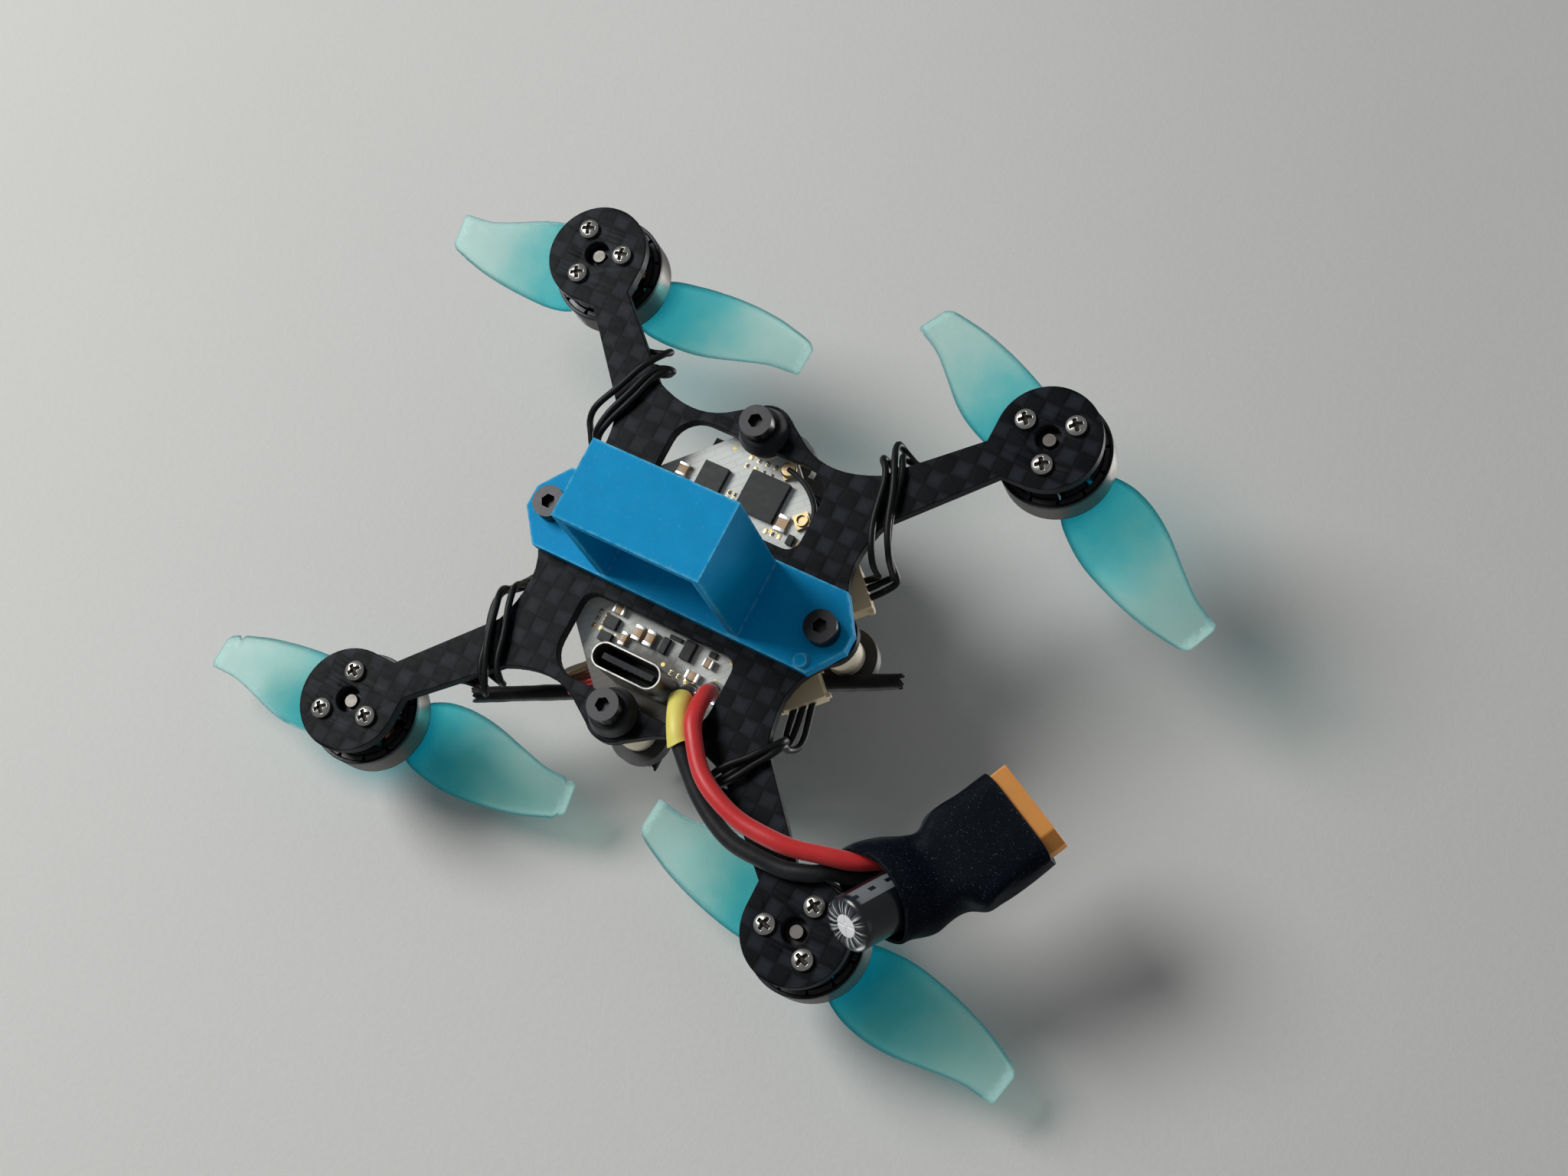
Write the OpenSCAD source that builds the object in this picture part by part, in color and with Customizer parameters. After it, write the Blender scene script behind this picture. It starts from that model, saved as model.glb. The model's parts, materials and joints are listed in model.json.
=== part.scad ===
// Two-inch toothpick quadcopter: flat carbon frame, four outrunner motors,
// all-in-one flight board, sling for a two-cell battery and a small canopy.
// Millimetres. +Z up in flight, nose towards -Y, the pilot's left is +X.
// Origin: centre of the board's hole pattern, on the plate's belly face.

/* [Frame] */
// Distance between the axes of diagonally opposite motors
wheelbase = 85.2; // [84.8:0.1:85.6]
// Thickness of the carbon plate
plate_t = 1.5; // [1.45:0.05:1.5]
// Side of the square of board screws
stack_pitch = 25.5; // [25.4:0.1:25.5]
// Diameter of the round motor pads
pad_d = 12.2; // [11.8:0.1:12.4]
// Arm width beside the motor pad
arm_w_tip = 4.5; // [4.2:0.1:4.8]
// Arm width at the body
arm_w_root = 5.6; // [5.4:0.1:5.8]

/* [Motors] */
// Outer diameter of the bell
bell_d = 13.3; // [13.3:0.05:13.5]
// Shaft diameter
shaft_d = 1.5; // [1.45:0.01:1.5]
// Circle of the three motor screws
motor_pcd = 6.6; // [6.4:0.1:6.8]
// Number of stator teeth
stator_teeth = 9; // [9]
// Number of magnets
magnet_count = 12; // [12]

/* [Propellers] */
// Tip-to-tip diameter
prop_d = 51.2; // [50.4:0.2:51.4]
// Air travel for one turn, which sets the twist
prop_pitch = 30; // [26:1:32]
// Largest angle of the blade near the hub
blade_angle_max = 24; // [20:1:24]
// Height of the middle of the hub above the belly face
blade_z = 11.6; // [11.6:0.1:11.8]

/* [Flight board] */
// Side of the square board, which sits cornerwise
board_side = 30; // [29.6:0.1:30.2]
// Gap between the plate and the board
board_gap = 1.5; // [1.5:0.05:1.6]
// Board thickness
board_t = 0.8; // [0.8:0.05:0.85]

/* [Battery holder] */
// Height of the arch above the belly face
holder_h = 18.3; // [14:0.1:20]
// Outer width of the arch
holder_w = 18.6; // [17.6:0.1:18.8]
// Length of the arch along the body
holder_l = 9.5; // [9:0.1:9.6]
// Thickness of the arch's walls
holder_wall = 1.1; // [0.9:0.1:1.4]
// Thickness of the flange under the screws
flange_t = 1.6; // [1.6:0.1:1.8]

/* [Canopy and camera] */
// Height of the canopy's roof above the belly face
canopy_h = 27; // [27:0.1:28]
// Side of the square camera body
camera_side = 14; // [13.6:0.1:14]
// Camera tilt above the horizon as drawn
camera_tilt = 20; // [18:1:22]

/* [Hidden] */
$fn = 64;

fit = 0.05;                        // radial play of a shaft in its hole
motor_xy = wheelbase / sqrt(8);    // motor axis from the centre line, both ways
hole_xy = stack_pitch / sqrt(2);   // board screw from the centre, on the axes
quarters = [[1, -1], [-1, -1], [1, 1], [-1, 1]]; // front left, front right, rear left, rear right
FL = quarters[0];
FR = quarters[1];
RL = quarters[2];
RR = quarters[3];

// Heights of the stack, from the belly face
board_z = plate_t + board_gap;
board_top = board_z + board_t;
grommet_top = board_top + 5.5;
ear_top = grommet_top + 1.8;
screw_d = 2;
stack_r = screw_d / 2;

// Motor levels and radii
base_t = 1.2;
rim_z = 4.5;
bell_wall_top = 8.4;
bell_top = 9.6;
bell_r = bell_d / 2;
ring_wall = 0.45;
magnet_t = 0.55;
air_gap = 0.15;
bearing_d = 4;
bearing_t = 1.6;
bearing_z = [plate_t + 0.2, 6.6];
stator_r = bell_r - ring_wall - magnet_t - air_gap;
stator_z = [4.4, 7.4];

// Camera pivot
pivot_y = -9;
pivot_z = 16.7;

// Capacitor, beside the rear left motor: axis, middle of its top and its length
can_axis = unit([-0.29, 0.70, -0.655]);
can_top = [36.1, 27.4, -4.36];
can_d = 6.3;
can_l = 8;
jacket_t = 0.12;

// Battery plug: direction of its mouth and the middle of the mouth
plug_dir = unit([0.443, -0.896, 0]);
plug_mouth = [47, 6.93, 2];
plug_w = 10.2;
plug_t = 5.2;
plug_l = 11.5;
plug_rim = 2.8;
pin_pitch = 5;

// ---- small helpers --------------------------------------------------------
function unit(v) = v / norm(v);

// Points of an arc about a centre
function arc(c, r, a0, a1, n) =
    [for (i = [0:n]) let (a = a0 + (a1 - a0) * i / n) [c[0] + r * cos(a), c[1] + r * sin(a)]];

// Points of a quadratic curve from a to c, pulled towards b
function bend(a, b, c, n) =
    [for (i = [0:n]) let (t = i / n) a * (1 - t) * (1 - t) + b * 2 * t * (1 - t) + c * t * t];

// Smooth line through a list of points, n pieces per span
function smooth(p, n) = concat([for (i = [0:len(p) - 2], j = [0:n - 1])
    let (t = j / n, a = p[max(i - 1, 0)], b = p[i], c = p[i + 1], d = p[min(i + 2, len(p) - 1)])
    b + (c - a) * t / 2 + (2 * a - 5 * b + 4 * c - d) * t * t / 2
    + (3 * b - a - 3 * c + d) * t * t * t / 2], [p[len(p) - 1]]);

// Rings of a round tube that follows a line, each mitred at its point
function slide_on(q, d, p, n) = q + d * (((p - q) * n) / (d * n));
function rings_after(path, i, ring) = i >= len(path) ? [] :
    let (d = unit(path[i] - path[i - 1]),
         n = i == len(path) - 1 ? d : unit(d + unit(path[i + 1] - path[i])),
         next = [for (q = ring) slide_on(q, d, path[i], n)])
    concat([next], rings_after(path, i + 1, next));
function first_ring(path, r, sides) =
    let (d = unit(path[1] - path[0]), u = unit(cross(d, [0.31, 0.52, 0.79])), v = cross(d, u))
    [for (k = [0:sides - 1]) path[0] + r * (cos(360 * k / sides) * u + sin(360 * k / sides) * v)];

// Closed skin over a stack of equal rings
module skin(rings) {
    m = len(rings[0]);
    n = len(rings);
    points = [for (ring = rings, p = ring) p];
    low = [for (i = [0:n - 2], k = [0:m - 1])
        [i * m + k, (i + 1) * m + k, (i + 1) * m + (k + 1) % m]];
    high = [for (i = [0:n - 2], k = [0:m - 1])
        [i * m + k, (i + 1) * m + (k + 1) % m, i * m + (k + 1) % m]];
    ends = [[for (k = [0:m - 1]) k], [for (k = [0:m - 1]) (n - 1) * m + m - 1 - k]];
    polyhedron(points, concat(low, high, ends), convexity = 6);
}

// Round wire or tube along a line of points
module wire(path, d, sides = 12) {
    ring = first_ring(path, d / 2, sides);
    skin(concat([ring], rings_after(path, 1, ring)));
}

// Cylinder from a along direction dir
module rod(a, dir, d, l) {
    u = unit(dir);
    translate(a)
        rotate([0, acos(u[2]), atan2(u[1], u[0])])
            cylinder(d = d, h = l);
}

// Copies at the four motors and at the four board screws
module at_motors() {
    for (q = quarters)
        translate([q[0] * motor_xy, q[1] * motor_xy, 0])
            rotate(atan2(q[1], q[0]))
                children();
}

module at_motor(q) {
    translate([q[0] * motor_xy, q[1] * motor_xy, 0])
        rotate(atan2(q[1], q[0]))
            children();
}

module at_holes(angles = [0:90:270]) {
    for (a = angles)
        rotate(a)
            translate([hole_xy, 0, 0])
                children();
}

// Copies on the board's four edges: x runs outwards, y along the edge
module at_edges() {
    for (q = quarters)
        rotate(atan2(q[1], q[0]))
            children();
}

// ---- frame ----------------------------------------------------------------
module frame_plate() {
    color("#22252a")
        difference() {
            linear_extrude(plate_t)
                plate_outline();
            at_motors()
                motor_pad_holes();
            at_holes()
                translate([0, 0, -1])
                    cylinder(r = stack_r + fit, h = plate_t + 2);
        }
}

module motor_pad_holes() {
    translate([0, 0, -1])
        cylinder(d = 3, h = plate_t + 2);
    for (a = [0:120:240])
        rotate(a)
            translate([motor_pcd / 2, 0, -1])
                cylinder(d = 1.6, h = plate_t + 2);
}

// Edge of the quarter with x > 0 and y > 0, from the side ear round the motor
// pad to the front or rear boss
function plate_quarter() =
    let (on_arm = function (along, across) [(along + across) / sqrt(2), (along - across) / sqrt(2)],
         pad = [motor_xy, motor_xy],
         neck = wheelbase / 2 - 6.4,
         ear_r = 3.4,
         waist = [17, 8.5])
    concat(arc([hole_xy, 0], ear_r, 0, 62, 6),
        bend([19.2, 3.4], [17.1, 5.8], waist, 4),
        bend(waist, [17, 11.6], on_arm(22.8, arm_w_root / 2), 4),
        [on_arm(neck, arm_w_tip / 2)],
        arc(pad, pad_d / 2, -88, 178, 38),
        [on_arm(neck, -arm_w_tip / 2)],
        bend(on_arm(23.8, -arm_w_root / 2), [9.4, 16.3], [5.4, 18.5], 8),
        arc([0, hole_xy], ear_r, 45, 90, 4));

module plate_outline() {
    quarter = plate_quarter();
    last = len(quarter) - 1;
    difference() {
        polygon(concat(quarter,
            [for (i = [1:last]) [-quarter[last - i][0], quarter[last - i][1]]],
            [for (i = [1:last]) -quarter[i]],
            [for (i = [1:last - 1]) [quarter[last - i][0], -quarter[last - i][1]]]));
        for (s = [0, 1])
            mirror([0, s])
                window_outline();
    }
}

// One window over the board, on the y > 0 side, with the screw boss bulging in
module window_outline() {
    half = 10.05;
    near = 6.75;
    far = 16.5;
    r_near = 1.6;
    r_far = 3.4;
    difference() {
        polygon(concat(arc([half - r_near, near + r_near], r_near, -90, 0, 5),
            arc([half - r_far, far - r_far], r_far, 0, 90, 7),
            arc([r_far - half, far - r_far], r_far, 90, 180, 7),
            arc([r_near - half, near + r_near], r_near, 180, 270, 5)));
        translate([0, hole_xy])
            circle(r = 2.6);
    }
}

// ---- screws and rubber ------------------------------------------------------
module motor_screws() {
    head_h = 0.8;
    slot_l = 1.5;
    color("#c9c9c6")
        at_motors()
            for (a = [0:120:240])
                rotate(a)
                    translate([motor_pcd / 2, 0, 0]) {
                        cylinder(d = 1.4, h = plate_t + base_t + 0.2);
                        difference() {
                            union() {
                                translate([0, 0, -0.45])
                                    cylinder(d = 2.35, h = 0.45);
                                translate([0, 0, -head_h])
                                    cylinder(d1 = 1.7, d2 = 2.35, h = head_h - 0.45);
                            }
                            for (b = [0, 90])
                                rotate(b)
                                    translate([-slot_l / 2, -0.16, -1])
                                        cube([slot_l, 0.32, 0.65]);
                        }
                    }
}

// Socket-head screw: top of the head at z, shank up to the nut
module socket_screw(head_top) {
    head_h = 2;
    difference() {
        translate([0, 0, head_top])
            cylinder(d = 3.8, h = head_h);
        translate([0, 0, head_top - 1])
            cylinder(d = 1.5 / cos(30), h = 2.1, $fn = 6);
    }
    translate([0, 0, head_top + head_h])
        cylinder(r = stack_r, h = ear_top + 1.9 - head_top - head_h);
}

module stack_screws() {
    color("#1c1c1e") {
        at_holes([90, 270])
            socket_screw(-3.9);
        at_holes([0, 180])
            socket_screw(-flange_t - 2);
    }
}

module belly_washers() {
    color("#26262a")
        at_holes([90, 270])
            translate([0, 0, -1.9])
                difference() {
                    cylinder(d1 = 4.8, d2 = 6, h = 1.9);
                    translate([0, 0, -1])
                        cylinder(r = stack_r + fit, h = 4);
                }
}

module board_grommets() {
    color("#d9cdb0")
        at_holes()
            difference() {
                union() {
                    translate([0, 0, plate_t])
                        cylinder(r = 2.4, h = board_gap);
                    translate([0, 0, board_z])
                        cylinder(r = 1.65, h = board_t);
                    translate([0, 0, board_top])
                        cylinder(r = 2.25, h = grommet_top - board_top);
                }
                cylinder(r = stack_r + fit, h = 20);
            }
}

module stack_nuts() {
    color("#2b2b2e")
        at_holes()
            translate([0, 0, ear_top])
                difference() {
                    cylinder(d = 4 / cos(30), h = 1.5, $fn = 6);
                    translate([0, 0, -1])
                        cylinder(r = stack_r + 0.02, h = 4);
                }
}

// ---- flight board -----------------------------------------------------------
module flight_board() {
    h = board_side / 2;
    r = 3;
    color("#e6e7e4")
        translate([0, 0, board_z])
            difference() {
                linear_extrude(board_t)
                    rotate(45)
                        polygon(concat(arc([h - r, h - r], r, 0, 90, 6),
                            arc([r - h, h - r], r, 90, 180, 6),
                            arc([r - h, r - h], r, 180, 270, 6),
                            arc([h - r, r - h], r, 270, 360, 6)));
                at_holes()
                    translate([0, 0, -1])
                        cylinder(r = 1.7, h = 3);
            }
}

// Block that hangs from the board towards the belly
module under_board(x, y, w, l, h, a = 0) {
    translate([x, y, board_z - h])
        rotate(a)
            translate([-w / 2, -l / 2, 0])
                cube([w, l, h]);
}

module radio_processor() {
    color("#26282c")
        under_board(2.5, -11.7, 5, 5, 0.85);
}

module board_chips() {
    color("#1f2023") {
        under_board(-4.2, -11.4, 3.2, 3.2, 0.75);
        under_board(7.9, -8.4, 0.8, 1.2, 0.6);
        under_board(3.4, 7.9, 1.3, 2.3, 0.9);
        under_board(-6.6, 8.7, 1.7, 1.5, 0.8);
        under_board(-6.5, 10.5, 1.6, 1.2, 0.7);
        under_board(0.5, 8.5, 0.8, 1.9, 0.7);
        under_board(1.3, 7.2, 1.6, 0.5, 0.4);
        under_board(6.2, 7.1, 0.9, 0.7, 0.4);
    }
}

module board_capacitors() {
    color("#b79a78") {
        under_board(6.1, -9.8, 1.4, 2, 0.6);
        under_board(-7.9, -10.9, 1.3, 1.6, 0.8);
        under_board(-6.4, 7.1, 1.5, 0.9, 0.8);
        under_board(-4.3, 9.8, 0.8, 1.6, 0.8);
        under_board(-3, 8.5, 1.1, 1.8, 0.9);
        under_board(-1.4, 8.5, 1.1, 1.9, 0.9);
        under_board(6.3, 8.2, 1.2, 1.1, 0.8);
        under_board(5.3, 10.3, 1.7, 1.1, 0.8);
    }
}

module antenna_sockets() {
    color("#c8a75a")
        for (p = [[3.9, -15.7], [8.1, -11]])
            translate([p[0], p[1], board_z - 0.5])
                rotate(45) {
                    translate([-0.9, -0.9, 0])
                        cube([1.8, 1.8, 0.5]);
                    translate([0, 0, -0.35])
                        difference() {
                            cylinder(r = 0.75, h = 0.35);
                            translate([0, 0, -1])
                                cylinder(r = 0.55, h = 1.3);
                        }
                }
}

// Charging and set-up socket, opening towards the belly
usb_w = 8.94;
usb_h = 3.2;
usb_y = 13;
usb_face = -3.3;

module usb_profile(inset) {
    r = usb_h / 2 - inset;
    x = usb_w / 2 - usb_h / 2;
    for (s = [-1, 1])
        translate([s * x, 0])
            circle(r = r);
    translate([-x, -r])
        square([2 * x, 2 * r]);
}

module usb_shell() {
    color("#b9bcc0")
        translate([0, usb_y, usb_face])
            difference() {
                linear_extrude(board_z - usb_face)
                    usb_profile(0);
                translate([0, 0, -1])
                    linear_extrude(board_z - usb_face + 2)
                        usb_profile(0.3);
            }
}

module usb_tongue() {
    color("#3c3e42")
        translate([0, usb_y, 0]) {
            translate([0, 0, board_z - 1.6])
                linear_extrude(1.6)
                    usb_profile(0.33);
            translate([-3.35, -0.35, usb_face + 0.7])
                cube([6.7, 0.7, board_z - 1.6 - usb_face - 0.7]);
        }
}

// Boot switch on the board's upper face, pressed down to load firmware
boot_xy = [-8.1, 8.1];
boot_travel = 0.25;

module boot_switch() {
    color("#c4c6c8")
        translate([boot_xy[0], boot_xy[1], board_top])
            difference() {
                translate([-1.5, -1.3, 0])
                    cube([3, 2.6, 1]);
                translate([0, 0, 0.4])
                    cylinder(r = 0.7, h = 2);
            }
}

module boot_button() {
    color("#1d1d1f")
        translate([boot_xy[0], boot_xy[1], board_top + 0.7])
            cylinder(r = 0.66, h = 0.75);
}

module esc_transistors() {
    color("#202125")
        at_edges()
            for (w = [-3.3, 0, 3.3])
                translate([6.1, w - 1.5, board_top])
                    cube([3, 3, 0.8]);
}

// Motor sockets stand on the upper face beside the side screws
plug_w3 = 5;
plug_h3 = 2.6;
socket_in = 10.8;
socket_out = 14.6;
plug_out = 17.9;
plug_side = 7.4;
function side_of(q) = -q[0] * q[1];

module motor_sockets() {
    wall = 0.35;
    color("#cdbf9d")
        for (q = quarters)
            rotate(atan2(q[1], q[0]))
                translate([socket_in, side_of(q) * plug_side - plug_w3 / 2 - wall, board_top])
                    difference() {
                        cube([socket_out - socket_in, plug_w3 + 2 * wall, plug_h3]);
                        translate([1, wall - fit, wall])
                            cube([socket_out, plug_w3 + 2 * fit, plug_h3]);
                    }
}

module motor_plugs() {
    gap = 0.4;
    color("#d6c7a4")
        for (q = quarters)
            rotate(atan2(q[1], q[0]))
                translate([socket_in + 1.1, side_of(q) * plug_side - plug_w3 / 2, board_top + gap]) {
                    cube([plug_out - socket_in - 1.1, plug_w3, plug_h3 - gap]);
                    for (s = [0, 1])
                        translate([plug_out - socket_in - 1.7, s ? plug_w3 : -0.5, 0.6])
                            cube([0.6, 0.5, 0.9]);
                }
}

// ---- battery side -----------------------------------------------------------
// The arch leans forwards: its walls stand on the flange and its roof sits
// further towards the nose
arch_y0 = -4.8;
arch_lean = 1.15;

module arch_block() {
    y1 = arch_y0 + holder_l;
    translate([-holder_w / 2, 0, 0])
        rotate([90, 0, 90])
            linear_extrude(holder_w)
                polygon([[arch_y0, 0.1 - flange_t], [y1, 0.1 - flange_t],
                    [y1 - arch_lean, -holder_h], [arch_y0 - arch_lean, -holder_h]]);
}

module battery_holder() {
    color("#1498d6") {
        difference() {
            translate([0, 0, -flange_t])
                linear_extrude(flange_t)
                    polygon([[-18.2, 5], [18.3, 5.1], [21.2, 1.2], [21.2, -1], [18.4, -5],
                        [-18.4, -5], [-21.2, -1.4], [-21.2, 1.2]]);
            at_holes([0, 180])
                translate([0, 0, -flange_t - 1])
                    cylinder(r = stack_r + fit, h = flange_t + 2);
        }
        difference() {
            arch_block();
            translate([holder_wall - holder_w / 2, -20, holder_wall - holder_h])
                cube([holder_w - 2 * holder_wall, 40, holder_h - holder_wall - flange_t]);
        }
        translate([17.3, 4.1, -flange_t - 0.5])
            cylinder(r = 0.8, h = 0.5);
    }
}

module battery_lead_red() {
    color("#c8242b")
        wire(smooth([[8.2, 10.9, 2.2], [8.5, 11.6, 0.4], [9.3, 13.6, -1.7], [10.6, 16.4, -2.9],
            [14.2, 20.2, -3.25], [19.2, 22.4, -3.3], [25, 22.9, -3.25], [29.4, 21.9, -2.3],
            [33, 20.8, -1.1], [35.6, 19.2, 0.8], [37.6, 18.6, 1.9], [38.5, 17.9, 2]], 3), 2, 12);
}

black_path = smooth([[5.7, 12.3, 2.3], [6.3, 13.4, 0.2], [8.2, 16.4, -1.6], [10, 18.7, -1.5],
    [14.2, 22.3, -1.2], [19.4, 24.7, -1.12], [25.2, 25.1, -1.12], [28.6, 24.3, -1.12],
    [30.4, 23.2, -0.7], [32.4, 22.4, 0.8], [34.6, 21.2, 2.2], [36.6, 20.2, 3.1],
    [39.4, 20, 3.4], [42, 20.8, 2.6], [42.9, 20.5, 2.3]], 3);

module battery_lead_black() {
    color("#1e1e20")
        wire(black_path, 1.9, 12);
}

module lead_sleeve() {
    first = 3;
    last = 8;
    color("#e5d65c")
        difference() {
            wire([for (i = [first:last]) black_path[i]], 2.6, 16);
            wire([for (i = [first - 1:last + 1]) black_path[i]], 2.1, 16);
        }
}

// Ring of the heat-shrink: centre c, half sizes hw and hh along u and v
function oval(c, u, v, hw, hh, power, n = 24) = [for (k = [0:n - 1])
    let (a = 360 * k / n, ca = cos(a), sa = sin(a))
    c + u * hw * sign(ca) * pow(abs(ca), power) + v * hh * sign(sa) * pow(abs(sa), power)];

// Heat-shrink sections: square on the plug, pinched behind it, then round and
// gaping. Distance behind the mouth, sideways shift, half width, half depth,
// roundness, turn about z, lean towards the mouth and dip towards the belly
sleeve_sections = [
    [2.85, 0, 5.65, 3.1, 0.4, 0, 0, 0],
    [9.3, 0, 5.8, 3.2, 0.45, 0, 0, 0],
    [10.8, 0, 5.75, 3.15, 0.5, 0, 0, 0],
    [12.3, -0.45, 4.9, 3.25, 0.65, 3, 0, 0.1],
    [13.9, -1.05, 5.15, 3.75, 0.85, 4, 4, 0.3],
    [16, -1.8, 5.8, 4.35, 0.95, 2, 18, 0.9],
    [19.4, -2.6, 5.95, 4.6, 1, -3, 38, 2.3]];

function sleeve_ring(s, inset) =
    let (back = -plug_dir, aside = cross([0, 0, 1], plug_dir),
         c = plug_mouth + back * s[0] + aside * s[1] - [0, 0, s[7]],
         u = cos(s[5]) * aside + sin(s[5]) * back,
         v = [0, 0, -cos(s[6])] - back * sin(s[6]))
    oval(c, u, v, s[2] - inset, s[3] - inset, s[4], 24);

module plug_sleeve() {
    wall = 0.4;
    n = 24;
    outer = [for (s = sleeve_sections) sleeve_ring(s, 0)];
    inner = [for (s = sleeve_sections) sleeve_ring(s, wall)];
    last = len(outer) - 1;
    points = [for (r = concat(outer, inner), p = r) p];
    off = (last + 1) * n;
    sides = [for (i = [0:last - 1], k = [0:n - 1]) let (j = (k + 1) % n)
        [i * n + k, i * n + j, (i + 1) * n + j, (i + 1) * n + k]];
    bore = [for (i = [0:last - 1], k = [0:n - 1]) let (j = (k + 1) % n)
        [off + i * n + k, off + (i + 1) * n + k, off + (i + 1) * n + j, off + i * n + j]];
    rims = [for (e = [0, last], k = [0:n - 1]) let (j = (k + 1) % n, a = e * n + k, b = e * n + j)
        e == 0 ? [a, off + a, off + b, b] : [a, b, off + b, off + a]];
    color("#1b1c1f")
        polyhedron(points, concat(sides, bore, rims), convexity = 6);
}

// Lays a shape drawn with its mouth at z = 0 and its body below onto the plug's place
module at_plug() {
    translate(plug_mouth)
        rotate([0, 90, atan2(plug_dir[1], plug_dir[0])])
            children();
}

module plug_outline(inset) {
    w = plug_w / 2 - inset;
    t = plug_t / 2 - inset;
    cut = 1.6;
    polygon([[-t, -w], [t, -w], [t, w - cut], [t - cut, w], [cut - t, w], [-t, w - cut]]);
}

module battery_plug() {
    color("#d99a3a")
        at_plug()
            difference() {
                union() {
                    translate([0, 0, -plug_rim])
                        linear_extrude(plug_rim)
                            plug_outline(0);
                    translate([0, 0, -plug_l])
                        linear_extrude(plug_l - 1)
                            plug_outline(0.5);
                }
                translate([0, 0, -6])
                    linear_extrude(7)
                        plug_outline(0.8);
                for (s = [-1, 1])
                    translate([0, s * pin_pitch / 2, -plug_l - 1])
                        cylinder(r = 1.02, h = plug_l + 2);
            }
}

module plug_contacts() {
    color("#d8b25a")
        at_plug()
            for (s = [-1, 1])
                translate([0, s * pin_pitch / 2, 0]) {
                    translate([0, 0, -plug_l - 0.1])
                        cylinder(r = 1, h = plug_l - 0.9);
                    translate([0, 0, -plug_l - 1.6])
                        difference() {
                            cylinder(r = 1.35, h = 1.5);
                            translate([0, 0, -1])
                                cylinder(r = 0.9, h = 2);
                        }
                }
}

module at_can() {
    translate(can_top)
        rotate([0, acos(can_axis[2]), atan2(can_axis[1], can_axis[0])])
            children();
}

module capacitor_can() {
    color("#c3c5c7")
        at_can() {
            translate([0, 0, -can_l + 0.1])
                cylinder(d = can_d - 2 * jacket_t - 0.04, h = can_l - 0.5);
            translate([0, 0, -0.4])
                cylinder(d1 = can_d - 2 * jacket_t - 0.04, d2 = can_d - 1.1, h = 0.4);
        }
}

module capacitor_jacket() {
    color("#202225")
        at_can()
            translate([0, 0, -can_l])
                difference() {
                    cylinder(d = can_d, h = can_l - 0.3);
                    translate([0, 0, 0.1])
                        cylinder(d = can_d - 2 * jacket_t, h = can_l);
                }
}

// ---- motor wires --------------------------------------------------------------
// Three wires side by side: in along the arm, over its inner edge at distance
// cross_in, under the plate, up past the outer edge at cross_out, into the plug
module motor_wires(q, cross_in, cross_out) {
    wire_d = 0.8;
    step = 1.1;
    low = -wire_d / 2 - 0.12;
    high = plate_t + wire_d / 2 + 0.12;
    plug_z = board_top + 1.5;
    edge_in = -3.5;
    edge_out = 5.1;
    on_arm = function (along, across, z)
        [q[0] * (along + across) / sqrt(2), q[1] * (along - across) / sqrt(2), z];
    color("#17181a")
        for (k = [-step, 0, step])
            wire([on_arm(37.2, k, high), on_arm(cross_in - k, k, high),
                on_arm(cross_in - k, edge_in, high), on_arm(cross_in - k, edge_in, low),
                on_arm(cross_out - k, edge_out, low), on_arm(cross_out - k, edge_out, plug_z),
                on_arm(cross_out - k, plug_side - k, plug_z),
                on_arm(plug_out + 0.05, plug_side - k, plug_z)], wire_d, 8);
}

// ---- motors ---------------------------------------------------------------------
module motor_bases() {
    tube_r = bearing_d / 2 + 0.45;
    color("#303238")
        at_motors()
            difference() {
                union() {
                    translate([0, 0, plate_t])
                        cylinder(r = 5.1, h = base_t);
                    translate([0, 0, plate_t])
                        cylinder(r = tube_r, h = bell_wall_top - plate_t - 0.1);
                }
                translate([0, 0, plate_t - 1])
                    cylinder(r = bearing_d / 2 - 0.4, h = 12);
                translate([0, 0, plate_t + 0.2])
                    cylinder(r = bearing_d / 2 + 0.02, h = 12);
                for (a = [0:120:240])
                    rotate(a)
                        translate([motor_pcd / 2, 0, 0])
                            cylinder(r = 0.72, h = 4);
                for (a = [60:120:300])
                    rotate(a)
                        translate([3.9, 0, 0])
                            cylinder(r = 0.9, h = 4);
            }
}

module motor_stators() {
    tube_r = bearing_d / 2 + 0.45;
    tip = 0.5;
    color("#4a4f5a")
        at_motors()
            translate([0, 0, stator_z[0]])
                linear_extrude(stator_z[1] - stator_z[0])
                    difference() {
                        union() {
                            circle(r = tube_r + 0.6);
                            for (k = [0:stator_teeth - 1])
                                rotate(360 * k / stator_teeth) {
                                    translate([tube_r + 0.3, -0.45])
                                        square([stator_r - tube_r - 0.5, 0.9]);
                                    intersection() {
                                        difference() {
                                            circle(r = stator_r);
                                            circle(r = stator_r - tip);
                                        }
                                        polygon([[0, 0], [stator_r * 1.1, -1.7], [stator_r * 1.1, 1.7]]);
                                    }
                                }
                        }
                        circle(r = tube_r + 0.02);
                    }
}

module motor_windings() {
    lift = 0.45;
    color("#b4622c")
        at_motors()
            for (k = [0:stator_teeth - 1])
                rotate(360 * k / stator_teeth)
                    translate([3.15, 0, stator_z[0]])
                        difference() {
                            translate([0, -0.8, -lift])
                                cube([1.7, 1.6, stator_z[1] - stator_z[0] + 2 * lift]);
                            translate([-1, -0.47, -0.02])
                                cube([4, 0.94, stator_z[1] - stator_z[0] + 0.04]);
                        }
}

module motor_bearings() {
    color("#8f9296")
        at_motors()
            for (z = bearing_z)
                translate([0, 0, z])
                    difference() {
                        cylinder(d = bearing_d, h = bearing_t);
                        translate([0, 0, -1])
                            cylinder(d = shaft_d + 0.06, h = bearing_t + 2);
                    }
}

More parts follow.
